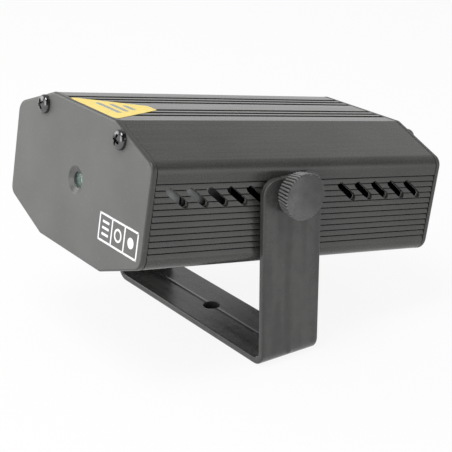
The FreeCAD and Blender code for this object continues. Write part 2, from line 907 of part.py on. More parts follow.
def build_grating():
    """Grating disc in a rim, on a hub on the motor's shaft, turning beside the beam axis."""
    disc_radius = D.grating_width / 2 - D.rim_thickness
    hub_radius = D.hub_width / 2
    disc = new_body("grating_disc")
    turn(disc, "X", [
        (0, hub_radius + D.thread_gap),
        (0, disc_radius - D.thread_gap),
        (D.grating_thickness, disc_radius - D.thread_gap),
        (D.grating_thickness, hub_radius + D.thread_gap),
    ])
    rim = new_body("grating_rim")
    rim_start = (D.grating_thickness - D.rim_length) / 2
    turn(rim, "X", [
        (rim_start, disc_radius),
        (rim_start, D.grating_width / 2),
        (rim_start + D.rim_length, D.grating_width / 2),
        (rim_start + D.rim_length, disc_radius),
    ])
    hub = new_body("grating_hub")
    flange = -D.hub_flange_thickness
    hub_end = D.hub_length + flange
    bore = D.shaft_width / 2 + D.thread_gap
    turn(hub, "X", [
        (flange, bore),
        (flange, D.hub_flange / 2),
        (0, D.hub_flange / 2),
        (0, hub_radius),
        (hub_end, hub_radius),
        (hub_end, bore),
    ])
    shaft = new_body("motor_shaft")
    shaft_start = flange - D.shaft_overhang
    shaft_end = shaft_start + D.shaft_length
    turn(shaft, "X", [
        (shaft_start, 0),
        (shaft_start, D.shaft_width / 2),
        (shaft_end, D.shaft_width / 2),
        (shaft_end, 0),
    ])
    motor = new_body("grating_motor")
    motor_start = hub_end + D.motor_gap
    motor_end = motor_start + D.motor_length
    seat = shaft_end + D.fit_gap
    turn(motor, "X", [
        (motor_start, bore),
        (motor_start, D.motor_width / 2),
        (motor_end, D.motor_width / 2),
        (motor_end, 0),
        (seat, 0),
        (seat, bore),
    ])
    for body in (disc, rim, hub, shaft, motor):
        place_in_head(body, grating_x, D.grating_offset, beam_z)

    mount = new_body("motor_mount")
    start = grating_x + motor_start + D.motor_mount_inset
    half = D.motor_width / 2 + D.motor_mount_side
    height = beam_z + D.motor_width / 2 + D.motor_mount_cover - bench_top
    sides = (D.grating_offset - half, D.grating_offset + half)
    extrude(mount, LEVEL, bench_top, height, rectangle(start, start + D.motor_mount_length, *sides))
    seat_bore = circle(D.grating_offset, beam_z, D.motor_width + D.thread_gap * 2)
    cut(mount, ACROSS, start, D.motor_mount_length, seat_bore)
    place_in_head(mount)
    return grating_x + motor_end


# Control board and rear controls

def board_corners():
    ends = (board_start + D.standoff_inset, board_end - D.standoff_inset)
    edge = board_width / 2 - D.standoff_inset
    return [(x, y) for x in ends for y in (-edge, edge)]


def build_board():
    """Control board on four standoffs, held by four screws."""
    board = new_body("control_board")
    half = board_width / 2
    base = bench_top + D.standoff_height
    extrude(board, LEVEL, base, D.board_thickness, rectangle(board_start, board_end, -half, half))
    holes = [circle(x, y, D.board_screw_shank + D.board_hole_gap * 2) for x, y in board_corners()]
    cut(board, LEVEL, base, D.board_thickness, *holes)
    place_in_head(board)
    bore = D.board_screw_shank / 2 + D.thread_gap
    head = D.board_screw_head / 2
    shank = D.board_screw_shank / 2
    for n, (x, y) in enumerate(board_corners(), start=1):
        standoff = new_body(f"board_standoff_{n}")
        turn_upright(standoff, [
            (bore, 0),
            (D.standoff_width / 2, 0),
            (D.standoff_width / 2, D.standoff_height),
            (bore, D.standoff_height),
        ])
        place_in_head(standoff, x, y, bench_top)
        screw = new_body(f"board_screw_{n}")
        turn_upright(screw, [
            (0, -D.board_screw_reach),
            (shank, -D.board_screw_reach),
            (shank, 0),
            (head, 0),
            (head, D.board_screw_head_height),
            (0, D.board_screw_head_height),
        ])
        place_in_head(screw, x, y, board_top)


def build_jack():
    """Low-voltage inlet: a body on the board, a round nose through the plate, a bore and its pin."""
    jack = new_body("power_jack")
    start = rear_inside - D.jack_length
    half = D.jack_width / 2
    sides = (jack_offset - half, jack_offset + half)
    extrude(jack, LEVEL, board_top, D.jack_height, rectangle(start, rear_inside, *sides))
    nose = D.plate_thickness + D.jack_nose_proud
    extrude(jack, ACROSS, rear_inside, nose, circle(jack_offset, control_z, D.jack_nose))
    mouth = rear_face + D.jack_nose_proud
    bore = circle(jack_offset, control_z, D.jack_bore)
    cut(jack, ACROSS, mouth - D.jack_bore_depth, D.jack_bore_depth, bore)
    place_in_head(jack)
    pin = new_body("jack_pin")
    radius = D.jack_pin_width / 2
    turn(pin, "X", [(0, 0), (0, radius), (D.jack_pin_length, radius), (D.jack_pin_length, 0)])
    place_in_head(pin, mouth - D.jack_bore_depth, jack_offset, control_z)


def build_mode_button():
    """Push switch on the board, and its button through the plate."""
    switch = new_body("mode_switch")
    end = rear_inside - D.switch_setback
    half = D.switch_width / 2
    sides = (switch_offset - half, switch_offset + half)
    extrude(switch, LEVEL, board_top, D.switch_height, rectangle(end - D.switch_length, end, *sides))
    depth = D.button_stem_length + D.fit_gap
    bore = circle(switch_offset, control_z, D.button_stem + D.fit_gap * 2)
    cut(switch, ACROSS, end - depth, depth, bore)
    place_in_head(switch)
    button = new_body("mode_button")
    cap_start = D.button_stroke + D.fit_gap
    cap_end = D.switch_setback + D.plate_thickness + D.button_proud
    stem_start = cap_start - D.button_stem_length
    stem = D.button_stem / 2
    cap = D.button_width / 2
    turn(button, "X", [
        (stem_start, 0),
        (stem_start, stem),
        (cap_start, stem),
        (cap_start, cap),
        (cap_end, cap),
        (cap_end, 0),
    ])
    place_in_head(button, end, switch_offset, control_z)


def build_speed_control():
    """Rotary control on the board with a bushing through the plate, its shaft and its knob."""
    control = new_body("speed_control")
    end = rear_inside - D.pot_setback
    half = D.pot_width / 2
    sides = (pot_offset - half, pot_offset + half)
    extrude(control, LEVEL, board_top, D.pot_height, rectangle(end - D.pot_length, end, *sides))
    bushing = D.pot_setback + D.plate_thickness + D.bushing_proud
    extrude(control, ACROSS, end, bushing, circle(pot_offset, control_z, D.bushing_width))
    mouth = end + bushing
    knob_start = mouth + D.speed_knob_gap
    knob_end = knob_start + D.speed_knob_length
    shaft_end = knob_end - D.speed_knob_cap
    shaft_start = shaft_end - D.speed_shaft_length
    bore = circle(pot_offset, control_z, D.speed_shaft_width + D.thread_gap * 2)
    cut(control, ACROSS, shaft_start - D.fit_gap, mouth - shaft_start + D.fit_gap, bore)
    place_in_head(control)
    shaft = new_body("speed_shaft")
    radius = D.speed_shaft_width / 2
    length = D.speed_shaft_length
    turn(shaft, "X", [(0, 0), (0, radius), (length, radius), (length, 0)])
    place_in_head(shaft, shaft_start, pot_offset, control_z)
    knob = new_body("speed_knob")
    grip = D.speed_knob_width / 2
    hollow = D.speed_knob_length - D.speed_knob_cap
    turn(knob, "X", [
        (0, radius + D.thread_gap),
        (0, grip),
        (D.speed_knob_length, grip),
        (D.speed_knob_length, 0),
        (hollow, 0),
        (hollow, radius + D.thread_gap),
    ])
    round_edges(knob, D.speed_knob_crown, in_plane_x(D.speed_knob_length))
    line = D.pointer_width / 2
    pointer = rectangle(-line, line, size(0), grip + D.pointer_depth)
    cut(knob, ACROSS, D.speed_knob_length - D.pointer_depth, D.pointer_depth, pointer)
    place_in_head(knob, knob_start, pot_offset, control_z)


def build_microphone():
    """Capsule behind its hole in the rear plate, in a soft ring."""
    capsule = new_body("microphone")
    radius = D.mic_width / 2
    turn(capsule, "X", [(-D.mic_length, 0), (-D.mic_length, radius), (0, radius), (0, 0)])
    ring = new_body("microphone_grommet")
    inner = radius + D.thread_gap
    turn(ring, "X", [
        (-D.mic_length, inner),
        (-D.mic_length, inner + D.grommet_wall),
        (0, inner + D.grommet_wall),
        (0, inner),
    ])
    for body in (capsule, ring):
        place_in_head(body, rear_inside, mic_offset, control_z)


def build_components():
    """Capacitor, driver chip and the three lead sockets along the board's front edge."""
    capacitor = new_body("board_capacitor")
    radius = D.capacitor_width / 2
    turn_upright(capacitor, [(0, 0), (radius, 0), (radius, D.capacitor_height), (0, D.capacitor_height)])
    place_in_head(capacitor, board_start + D.capacitor_inset, D.capacitor_offset, board_top)
    chip = new_body("driver_chip")
    middle = board_start + D.chip_inset
    ends = (middle - D.chip_length / 2, middle + D.chip_length / 2)
    sides = (D.chip_offset - D.chip_width / 2, D.chip_offset + D.chip_width / 2)
    extrude(chip, LEVEL, board_top, D.chip_height, rectangle(*ends, *sides))
    place_in_head(chip)
    half = D.socket_width / 2
    start = board_start + D.socket_setback - D.socket_length / 2
    for name, y in (("green", size(0)), ("red", -red_offset), ("motor", D.motor_lead_offset)):
        socket = new_body(f"{name}_socket")
        block = rectangle(start, start + D.socket_length, y - half, y + half)
        extrude(socket, LEVEL, board_top, D.socket_height, block)
        place_in_head(socket)


# Leads

def build_lead(label, route):
    """Round lead along straight runs joined by tangent arcs."""
    points = [FreeCAD.Vector(*(size(c).value for c in point)) for point in route]
    edges = []
    start = points[0]
    for before, corner, after in zip(points, points[1:], points[2:]):
        back = (before - corner).normalize()
        ahead = (after - corner).normalize()
        half_turn = (math.pi - back.getAngle(ahead)) / 2
        trim = D.lead_bend.value * math.tan(half_turn)
        entry = corner + back * trim
        leave = corner + ahead * trim
        bisector = (back + ahead).normalize()
        centre = corner + bisector * (D.lead_bend.value / math.cos(half_turn))
        middle = centre - bisector * D.lead_bend.value
        edges += [Part.LineSegment(start, entry).toShape(), Part.Arc(entry, middle, leave).toShape()]
        start = leave
    edges.append(Part.LineSegment(start, points[-1]).toShape())
    path = Part.Wire(edges)
    ring = Part.makeCircle(D.lead_width.value / 2, points[0], points[1] - points[0])
    lead = doc.addObject("Part::Feature", label)
    lead.Label = label
    lead.Shape = path.makePipeShell([Part.Wire([ring])], True, False)
    parts.append(lead)
    place_in_head(lead)


def build_leads(motor_end):
    """Leads from the two lasers and the motor down into their sockets."""
    socket_x = board_start + D.socket_setback
    socket_top = board_top + D.socket_height
    for name, y, tail_gap in (("green", size(0), D.green_tail_gap), ("red", -red_offset, D.red_tail_gap)):
        rear = board_start - tail_gap
        build_lead(f"{name}_leads", [(rear, y, beam_z), (socket_x, y, beam_z), (socket_x, y, socket_top)])
    turn_start = motor_end + D.motor_lead_turn / 2
    build_lead("motor_leads", [
        (motor_end, D.grating_offset, beam_z),
        (turn_start, D.grating_offset, beam_z),
        (turn_start + D.motor_lead_turn, D.motor_lead_offset, beam_z),
        (socket_x, D.motor_lead_offset, beam_z),
        (socket_x, D.motor_lead_offset, socket_top),
    ])


build_bracket()
build_housing()
build_front_plate()
build_rear_plate()
build_plate_screws()
build_thumb_screw("near", -1)
build_thumb_screw("far", 1)
build_lens()
build_bench()
build_laser("green", size(0), D.green_tail_gap)
build_laser("red", -red_offset, D.red_tail_gap)
build_combiner()
motor_back = build_grating()
build_board()
build_jack()
build_mode_button()
build_speed_control()
build_microphone()
build_components()
build_leads(motor_back)
doc.recompute()

# Every object has to be sound before anything is written

for item in doc.Objects:
    if "Invalid" in item.State or "Error" in item.State:
        raise RuntimeError(f"{item.Label} failed: {item.State}")
for part in parts:
    if part.Shape.isNull() or not part.Shape.isValid() or len(part.Shape.Solids) != 1:
        raise RuntimeError(f"{part.Label} is not one valid solid")

os.makedirs("parts", exist_ok=True)
for part in parts:
    part.Shape.exportStep(f"parts/{part.Label}.step")
print(len(parts), "parts written")
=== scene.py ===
import json
import math

import bmesh
import bpy
import numpy as np
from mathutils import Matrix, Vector


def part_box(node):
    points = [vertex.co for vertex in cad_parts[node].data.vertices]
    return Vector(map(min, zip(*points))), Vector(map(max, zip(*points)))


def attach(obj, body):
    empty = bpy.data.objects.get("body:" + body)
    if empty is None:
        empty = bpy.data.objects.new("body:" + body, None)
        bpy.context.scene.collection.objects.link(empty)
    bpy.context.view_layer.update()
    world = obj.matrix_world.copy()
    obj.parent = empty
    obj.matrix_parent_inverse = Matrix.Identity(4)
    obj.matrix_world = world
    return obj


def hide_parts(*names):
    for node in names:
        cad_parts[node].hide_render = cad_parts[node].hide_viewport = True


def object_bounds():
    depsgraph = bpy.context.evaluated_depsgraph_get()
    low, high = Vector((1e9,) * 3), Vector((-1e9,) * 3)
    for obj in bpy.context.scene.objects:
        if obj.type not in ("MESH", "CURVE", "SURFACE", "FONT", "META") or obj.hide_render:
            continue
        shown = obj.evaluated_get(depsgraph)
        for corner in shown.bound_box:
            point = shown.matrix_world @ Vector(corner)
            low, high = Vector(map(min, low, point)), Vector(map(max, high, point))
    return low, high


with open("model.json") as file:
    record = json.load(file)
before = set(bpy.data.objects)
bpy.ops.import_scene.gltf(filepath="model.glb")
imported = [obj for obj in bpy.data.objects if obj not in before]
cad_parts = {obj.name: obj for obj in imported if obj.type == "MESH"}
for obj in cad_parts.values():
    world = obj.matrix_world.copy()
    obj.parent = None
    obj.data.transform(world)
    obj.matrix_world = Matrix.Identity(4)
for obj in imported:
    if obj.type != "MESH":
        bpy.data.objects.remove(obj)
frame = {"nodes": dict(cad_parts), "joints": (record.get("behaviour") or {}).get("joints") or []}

cad_low, cad_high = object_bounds()


# Viewpoint, floor and light
# A long lens, a little above the projector and off its front corner. The white floor runs on into
# a white surround. A large soft box faces the front plate, a smaller one hangs over the front and
# a third stands behind the far side.
MM = 0.001
scene = bpy.context.scene
scene.view_settings.view_transform = "Standard"


def put(name, data):
    """Add an object with this data to the scene."""
    thing = bpy.data.objects.new(name, data)
    scene.collection.objects.link(thing)
    return thing


class Value:
    """Output of a shader node, used as a number: each operator adds one Math node to its tree."""

    def __init__(self, tree, socket):
        self.tree = tree
        self.socket = socket

    def node(self, kind, settings, sockets, output=0):
        """Any other node: its settings first, then a value or a link for each of its sockets."""
        made = self.tree.nodes.new("ShaderNode" + kind)
        for name, setting in settings.items():
            if name == "stops":
                for place, _ in setting[2:]:
                    made.color_ramp.elements.new(place)
                for stop, (place, colour) in zip(made.color_ramp.elements, setting):
                    stop.position = place
                    stop.color = colour
            else:
                setattr(made, name, setting)
        for name, given in sockets.items():
            if isinstance(given, Value):
                self.tree.links.new(given.socket, made.inputs[name])
            else:
                made.inputs[name].default_value = given
        return Value(self.tree, made.outputs[output])

    def ease(self, first, last, low=0.0, high=1.0):
        """Smooth step that goes from low to high as this goes from first to last."""
        limits = {"From Min": first, "From Max": last, "To Min": low, "To Max": high}
        return self.node("MapRange", {"interpolation_type": "SMOOTHSTEP"}, {"Value": self, **limits})

    def blend(self, *colours):
        """Colour that goes from the first of two colours to the second as this goes from 0 to 1."""
        first, second = (end if isinstance(end, Value) else (*end, 1.0) for end in colours)
        return self.node("Mix", {"data_type": "RGBA"}, {0: self, 6: first, 7: second}, 2)

    def dot(self, way):
        """How far this vector reaches along a unit vector."""
        return self.node("VectorMath", {"operation": "DOT_PRODUCT"}, {0: self, 1: tuple(way)}, 1)

    def distance(self, place):
        """How far this vector lies from a place."""
        return self.node("VectorMath", {"operation": "DISTANCE"}, {0: self, 1: tuple(place)}, 1)

    def math(self, operation, *terms):
        return self.node("Math", {"operation": operation}, dict(enumerate(terms)))

    def __add__(self, other):
        return self.math("ADD", self, other)

    def __sub__(self, other):
        return self.math("SUBTRACT", self, other)

    def __rsub__(self, other):
        return self.math("SUBTRACT", other, self)

    def __mul__(self, other):
        return self.math("MULTIPLY", self, other)

    def __lt__(self, other):
        return self.math("LESS_THAN", self, other)

    def __gt__(self, other):
        return self.math("GREATER_THAN", self, other)

    def __abs__(self):
        return self.math("ABSOLUTE", self)

    __radd__ = __add__
    __rmul__ = __mul__


def rays_of(tree):
    """One for each kind of ray that shows the background: from the lens, glossy and through glass."""
    rays = tree.nodes.new("ShaderNodeLightPath")
    kinds = ("Camera", "Glossy", "Transmission")
    return [Value(tree, rays.outputs[f"Is {kind} Ray"]) for kind in kinds]


camera = put("camera", bpy.data.cameras.new("camera"))
camera.data.lens = 97.31
camera.data.sensor_width = 36.0
camera.location = Vector((-246.7, -361.2, 206.1)) * MM
camera.rotation_euler = Vector((0.5356, 0.7627, -0.3626)).to_track_quat("-Z", "Y").to_euler()
scene.camera = camera

# gloss sees the white sweep near the horizon, a dimmer ceiling, a dark room on the camera's side and
# a low window to the right of the camera
surround = bpy.data.worlds.new("surround")
surround.use_nodes = True
scene.world = surround
sky_tree = surround.node_tree
room_light = 0.52
sweep_light = 1.1
ceiling_light = 0.45
dark_side_light = 0.15
window_light = 1.5
room_side = (0.1, -0.85, 0.52)
window_side = (0.54, -0.83, 0.14)
sky_place = Value(sky_tree, sky_tree.nodes.new("ShaderNodeTexCoord").outputs["Generated"])
sweep = sky_place.dot((0, 0, 1)).ease(0.22, 0.62, sweep_light, ceiling_light)
dusk = sky_place.dot(room_side).ease(0.3, 0.75, 1.0, dark_side_light)
window = sky_place.dot(window_side).ease(0.93, 0.985, 0.0, window_light)
gleam = sweep * dusk + window
direct, gloss, clear = rays_of(sky_tree)
sky_strength = room_light + (1 - room_light) * (direct + clear) + gloss * (gleam - room_light)
sky = sky_tree.nodes["Background"]
sky_tree.links.new(sky_strength.socket, sky.inputs["Strength"])
sky.inputs["Color"].default_value = (1.0, 1.0, 1.0, 1.0)

floor_reach = 4.0
floor_corners = np.array([(-1, -1, 0), (1, -1, 0), (1, 1, 0), (-1, 1, 0)]) * floor_reach
floor_mesh = bpy.data.meshes.new("floor")
floor_mesh.from_pydata(floor_corners.tolist(), [], [(0, 1, 2, 3)])
floor = put("floor", floor_mesh)
floor_paper = bpy.data.materials.new("floor_paper")
floor_paper.use_nodes = True
floor_tree = floor_paper.node_tree
floor_place = Value(floor_tree, floor_tree.nodes.new("ShaderNodeTexCoord").outputs["Object"])
direct, gloss, clear = rays_of(floor_tree)
# painted shade: the patch under the bracket's base, seen only through its hole, is painted dark, and
# has no glow so that it keeps its full shadow
outside_painted_shade = floor_place.distance((0, 0, 0)).ease(7 * MM, 12 * MM)
floor_tone_with_painted_shade = outside_painted_shade.blend((0.12, 0.12, 0.12), (0.86, 0.86, 0.86))
lit = direct.node("BsdfDiffuse", {}, {"Color": floor_tone_with_painted_shade})
bright = direct.node("Emission", {}, {"Color": (1.0, 1.0, 1.0, 1.0)})
floor_glow = 0.9
shown = (direct + gloss + clear) * outside_painted_shade * floor_glow
floor_look = direct.node("MixShader", {}, {0: shown, 1: lit, 2: bright})
floor_tree.links.new(floor_look.socket, floor_tree.nodes["Material Output"].inputs["Surface"])
floor_mesh.materials.append(floor_paper)


def soft_box(name, place, width, watts):
    """Square lamp at a place, turned towards the middle of the projector."""
    lamp = put(name, bpy.data.lights.new(name, "AREA"))
    lamp.data.size = width
    lamp.data.energy = watts
    lamp.location = place
    lamp.rotation_euler = ((cad_low + cad_high) / 2 - lamp.location).to_track_quat("-Z", "Y").to_euler()


soft_box("front_box", Vector((-0.88, -0.2, 0.44)), width=0.7, watts=3.3)
soft_box("top_box", Vector((-0.35, -0.12, 1.05)), width=0.45, watts=4.8)
soft_box("back_box", Vector((-0.5, 0.76, 0.46)), width=0.6, watts=2.5)


# Bracket
# One strap of dark grey plastic, moulded as a U with round-cornered legs. It stands on its base or
# is screwed down through the hole there, and the thumb screws clamp its legs to the housing.
strap_thickness = 2.5 * MM
strap_edge = 0.6 * MM
strap_bend = 2.8 * MM
strap_corner = 6.0 * MM
seam_height = 0.22 * MM
seam_width = 0.45 * MM
gate_height = 0.4 * MM
gate_width = 0.8 * MM
base_hole_radius = 3.3 * MM
stud_hole_radius = 2.7 * MM
hole_lip = 0.25 * MM


def rounded(corners, radii, steps=6):
    """Closed outline with an arc at each corner. The arc's centre lies on the corner's bisector, at
    radius / sin(half the corner's angle), and it swings from one tangent point to the other."""
    corners = np.asarray(corners, float)
    radii = np.broadcast_to(np.asarray(radii, float), len(corners))
    sides = np.stack([np.roll(corners, 1, 0), np.roll(corners, -1, 0)]) - corners
    sides = sides / np.linalg.norm(sides, axis=2, keepdims=True)
    half = np.arccos(np.clip((sides[0] * sides[1]).sum(1), -1, 1)) / 2
    bisector = sides.sum(0) / np.linalg.norm(sides.sum(0), axis=1, keepdims=True)
    centre = corners + bisector * (radii / np.sin(half))[:, None]
    start, end = corners + sides * (radii / np.tan(half))[:, None] - centre
    swing = (math.pi - 2 * half)[:, None, None]
    share = np.linspace(0, 1, steps)[None, :, None]
    arcs = np.sin((1 - share) * swing) * start[:, None] + np.sin(share * swing) * end[:, None]
    return (centre[:, None] + arcs / np.sin(swing)).reshape(-1, 2)


def settle(mesh, crease):
    """Shade a mesh smooth, apart from edges that turn by more than crease degrees."""
    mesh.shade_smooth()
    mesh.set_sharp_from_angle(angle=math.radians(crease))


def skin(name, points, loop_rows=False, crease=35):
    """Piece over a grid of points, rows by columns. Each row is a closed loop, and one that shrinks
    to a point becomes a pole. With loop_rows, the last row joins the first."""
    rows, columns = points.shape[:2]
    index = np.arange(rows * columns).reshape(rows, columns)
    if loop_rows:
        index = np.vstack([index, index[:1]])
    near, far = index[:-1], index[1:]
    quads = np.stack([near, np.roll(near, -1, 1), np.roll(far, -1, 1), far], -1).reshape(-1, 4)
    mesh = bpy.data.meshes.new(name)
    mesh.from_pydata(points.reshape(-1, 3).tolist(), [], quads.tolist())
    shell = bmesh.new()
    shell.from_mesh(mesh)
    bmesh.ops.remove_doubles(shell, verts=shell.verts, dist=1e-7)
    bmesh.ops.recalc_face_normals(shell, faces=shell.faces)
    if shell.calc_volume(signed=True) < 0:
        bmesh.ops.reverse_faces(shell, faces=shell.faces)
    shell.to_mesh(mesh)
    shell.free()
    settle(mesh, crease)
    return put(name, mesh)


def spun(along, radius, columns=96):
    """Grid of circles about the first axis: row k lies at along[k] with radius[k], and the radius may
    also change round the circle."""
    turn = np.linspace(0, 2 * math.pi, columns, endpoint=False)
    radius = np.asarray(radius, float)
    if radius.ndim == 1:
        radius = np.repeat(radius[:, None], columns, 1)
    along = np.broadcast_to(np.asarray(along, float).reshape(len(radius), -1), radius.shape)
    return np.stack([along, radius * np.cos(turn), radius * np.sin(turn)], -1)


def bore_tool(low, high, radius, lip):
    """Grid of a drill along the first axis that flares to a round lip at both faces."""
    swing = np.linspace(0, math.pi / 2, 6)
    flare = radius + lip * (1 - np.cos(swing))
    inward = lip * (1 - np.sin(swing))
    past = lip * 2
    start, end = [low - past] * 2, [high + past] * 2
    along = np.concatenate([start, low + inward[::-1], high - inward, end])
    widest = radius + lip
    across = np.concatenate([[0, widest], flare[::-1], flare, [widest, 0]])
    return spun(along, across, 64)


def carve(piece, *tools, crease=35):
    """Cut closed tools out of a piece and keep the result, less edges of no length, as its mesh."""
    for tool in tools:
        cut = piece.modifiers.new("cut", "BOOLEAN")
        cut.operation = "DIFFERENCE"
        cut.solver = "EXACT"
        cut.object = tool
    baked = bpy.data.meshes.new_from_object(piece.evaluated_get(bpy.context.evaluated_depsgraph_get()))
    piece.modifiers.clear()
    piece.data = baked
    for tool in tools:
        bpy.data.objects.remove(tool)
    shell = bmesh.new()
    shell.from_mesh(baked)
    bmesh.ops.dissolve_degenerate(shell, edges=shell.edges, dist=1e-6)
    shell.to_mesh(baked)
    shell.free()
    settle(baked, crease)


def fix(piece, body, slot, paint, *nodes):
    """Give a piece its finish, seat it on its body and let it stand for its nodes."""
    piece.data.materials.clear()
    piece.data.materials.append(paint)
    piece.modifiers.new("flat_faces", "WEIGHTED_NORMAL").keep_sharp = True
    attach(piece, body)
    if nodes:
        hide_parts(*nodes)


def finish(name, build, **steady):
    """Material: build takes the Object coordinates and returns the sockets that change over the
    surface, and steady holds those that are the same all over."""
    made = bpy.data.materials.new(name)
    made.use_nodes = True
    tree = made.node_tree
    place = tree.nodes.new("ShaderNodeTexCoord")
    shader = tree.nodes["Principled BSDF"]
    for socket, number in steady.items():
        shader.inputs[socket.replace("_", " ")].default_value = number
    for socket, value in build(Value(tree, place.outputs["Object"])).items():
        tree.links.new(value.socket, shader.inputs[socket])
    return made


def noise(at, size, detail=2.0, spread=0.25):
    """Soft noise whose blotches are about size metres across: what lies within spread of a half is
    stretched to fill 0 to 1."""
    blotches = at.node("TexNoise", {}, {"Vector": at, "Scale": 1 / size, "Detail": detail})
    return blotches.ease(0.5 - spread, 0.5 + spread)


def drawn_noise(at, sizes, detail, turn=(0, 0, 0)):
    """Soft noise with a size along each axis, after a turn of the axes."""
    sockets = {"Vector": at, "Rotation": turn, "Scale": sizes}
    return noise(at.node("Mapping", {"vector_type": "TEXTURE"}, sockets), 1.0, detail)


def scaled(colour, factor):
    """A colour made darker or paler."""
    return tuple(c * factor for c in colour)


def relief(height, depth, strength=1.0):
    """Normal of a surface that rises by height times depth metres."""
    return height.node("Bump", {}, {"Height": height, "Distance": depth, "Strength": strength})


def moulded(name, colour, sheen, grain, swing=0.4, flow_size=(16 * MM, 16 * MM, 16 * MM), painted_light=None):
    """Moulded plastic: spark-eroded grain, mottled skin and flow marks as long as flow_size says.
    The optional last argument takes the coordinates and the colour and paints light and shade into the
    colour."""
    dark, pale = scaled(colour, 1 - swing), scaled(colour, 1 + swing)

    def surface(at):
        spark = noise(at, grain, 3.0)
        mottle = noise(at, 4.5 * MM, 3.0)
        flow = drawn_noise(at, flow_size, 1.0)
        tone = (0.55 * flow + 0.2 * mottle + 0.25 * spark).blend(dark, pale)
        return {
            "Base Color": painted_light(at, tone) if painted_light else tone,
            "Roughness": sheen - 0.1 + 0.1 * flow + 0.04 * mottle + 0.06 * spark,
            "Normal": relief(0.3 * spark + mottle + flow, 0.02 * MM),
        }

    return finish(name, surface)


_, bracket_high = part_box("bracket")
strap_half = bracket_high.x
leg_middle = bracket_high.y - strap_thickness / 2
bend_middle = strap_bend + strap_thickness / 2
base_flat = leg_middle - bend_middle
bend_length = bend_middle * math.pi / 2
leg_length = bracket_high.z - strap_thickness / 2 - bend_middle
strap_end = base_flat + bend_length + leg_length

end_swing = np.linspace(0, math.pi / 2, 6)
end_steps = strap_edge * (1 - np.cos(end_swing))
corner_steps = np.linspace(strap_edge, strap_corner, 14)[1:]
leg_steps = np.linspace(strap_corner, leg_length, 24)[1:-1]
bend_steps = leg_length + np.linspace(0, bend_length, 14)
base_steps = leg_length + bend_length + np.linspace(0, base_flat, 30)[1:]
from_end = np.concatenate([end_steps[:1], end_steps, corner_steps, leg_steps, bend_steps, base_steps])
cap = np.concatenate([[0.0], np.ones(len(from_end) - 1)])
run = np.concatenate([from_end - strap_end, (strap_end - from_end)[-2::-1]])
cap = np.concatenate([cap, cap[-2::-1]])
to_end = strap_end - np.abs(run)

strap_section = rounded(
    [(strap_half, 0.5 * strap_thickness), (-strap_half, 0.5 * strap_thickness),
     (-strap_half, -0.5 * strap_thickness), (strap_half, -0.5 * strap_thickness)],
    strap_edge,
)
inner_face = np.linspace(strap_half - strap_edge, -strap_half + strap_edge, 61)[1:-1]
outer_face = inner_face[::-1]
strap_section = np.concatenate([
    strap_section[:6],
    np.stack([inner_face, np.full_like(inner_face, 0.5 * strap_thickness)], 1),
    strap_section[6:18],
    np.stack([outer_face, np.full_like(outer_face, -0.5 * strap_thickness)], 1),
    strap_section[18:],
])


def round_off(radius, distance):
    """How far a quarter circle of this radius lies inside a square corner, by the distance from the
    corner: the radius less the circle's height there."""
    short = np.clip(radius - distance, 0, None)
    return radius - np.sqrt(np.clip(radius**2 - short**2, 0, None))


edge_drop = round_off(strap_edge, to_end)
corner_drop = round_off(strap_corner, to_end)
across, height = strap_section.T
inside_reach = (strap_half - corner_drop)[:, None] / strap_half
strap_x = cap[:, None] * across * inside_reach
strap_h = cap[:, None] * height * (1 - edge_drop / (0.5 * strap_thickness))[:, None]
seam = seam_height * np.exp(-((strap_x / seam_width) ** 2)) * (height > 0.4 * strap_thickness)
strap_h = strap_h + seam * cap[:, None]
gate_run = -(base_flat + 0.7 * bend_length)
gate = np.exp(-((strap_x**2 + (run[:, None] - gate_run) ** 2) / gate_width**2))
strap_h = strap_h - gate_height * gate * (height < -0.4 * strap_thickness)

reach = np.abs(run)
bend_angle = np.clip((reach - base_flat) / bend_middle, 0, math.pi / 2)
path_y = np.clip(reach, 0, base_flat) + bend_middle * np.sin(bend_angle)
leg_rise = np.clip(reach - base_flat - bend_length, 0, None)
path_z = strap_thickness / 2 + bend_middle * (1 - np.cos(bend_angle)) + leg_rise
strap_y = np.sign(run)[:, None] * (path_y[:, None] - np.sin(bend_angle)[:, None] * strap_h)
strap_z = path_z[:, None] + np.cos(bend_angle)[:, None] * strap_h
bracket = skin("bracket_strap", np.stack([strap_x, strap_y, strap_z], -1))

pivot = Vector(next(joint for joint in frame["joints"] if joint["name"] == "head_tilt")["pos_m"])
base_bore = bore_tool(0.0, strap_thickness, base_hole_radius, hole_lip)[..., [1, 2, 0]]
tools = [skin("base_bore", base_bore)]
for side in (-1, 1):
    faces = sorted((side * (bracket_high.y - strap_thickness), side * bracket_high.y))
    stud_bore = bore_tool(*faces, stud_hole_radius, hole_lip)[..., [1, 0, 2]] + np.array(pivot)
    tools.append(skin("stud_bore", stud_bore))
carve(bracket, *tools)
strap_flow = (5 * MM, 45 * MM, 45 * MM)
bracket_plastic = moulded("bracket_plastic", (0.057, 0.057, 0.055), 0.26, 0.35 * MM, 0.55, strap_flow)
fix(bracket, "bracket", "bracket_plastic", bracket_plastic, "bracket")


# Housing
# An extruded eight-sided aluminium tube in satin dark grey paint, with clapboard sides, two bands
# of fine grooves along its top, and slanted vents milled through both sides.
wall = 2.2 * MM
slat_top = 3.5 * MM
slat_pitch = 2.15 * MM
slat_depth = 0.7 * MM
slat_count = 12
slot_height = 0.46 * MM
slot_depth = 1.15 * MM
groove_start = 5.0 * MM
groove_pitch = 4.2 * MM
groove_width = 2.2 * MM
groove_depth = 0.8 * MM
groove_count = 3
lip_radius = 0.12 * MM
crown_width = 21.98 * MM
shoulder_height = 17.43 * MM
end_softness = 0.987
end_reach = 0.35 * MM
section_radii = np.array([2.0, 5.0, 4.0, 1.8]) * MM
vent_width = 2.53 * MM
vent_run = 8.17 * MM
vent_slope = math.radians(34.15)
vent_drop = 1.6 * MM
vent_pitch = 8.13 * MM
vent_count = 5
front_vent = 11.35 * MM
rear_vent = 12.8 * MM
insert_hole_radius = 3.85 * MM

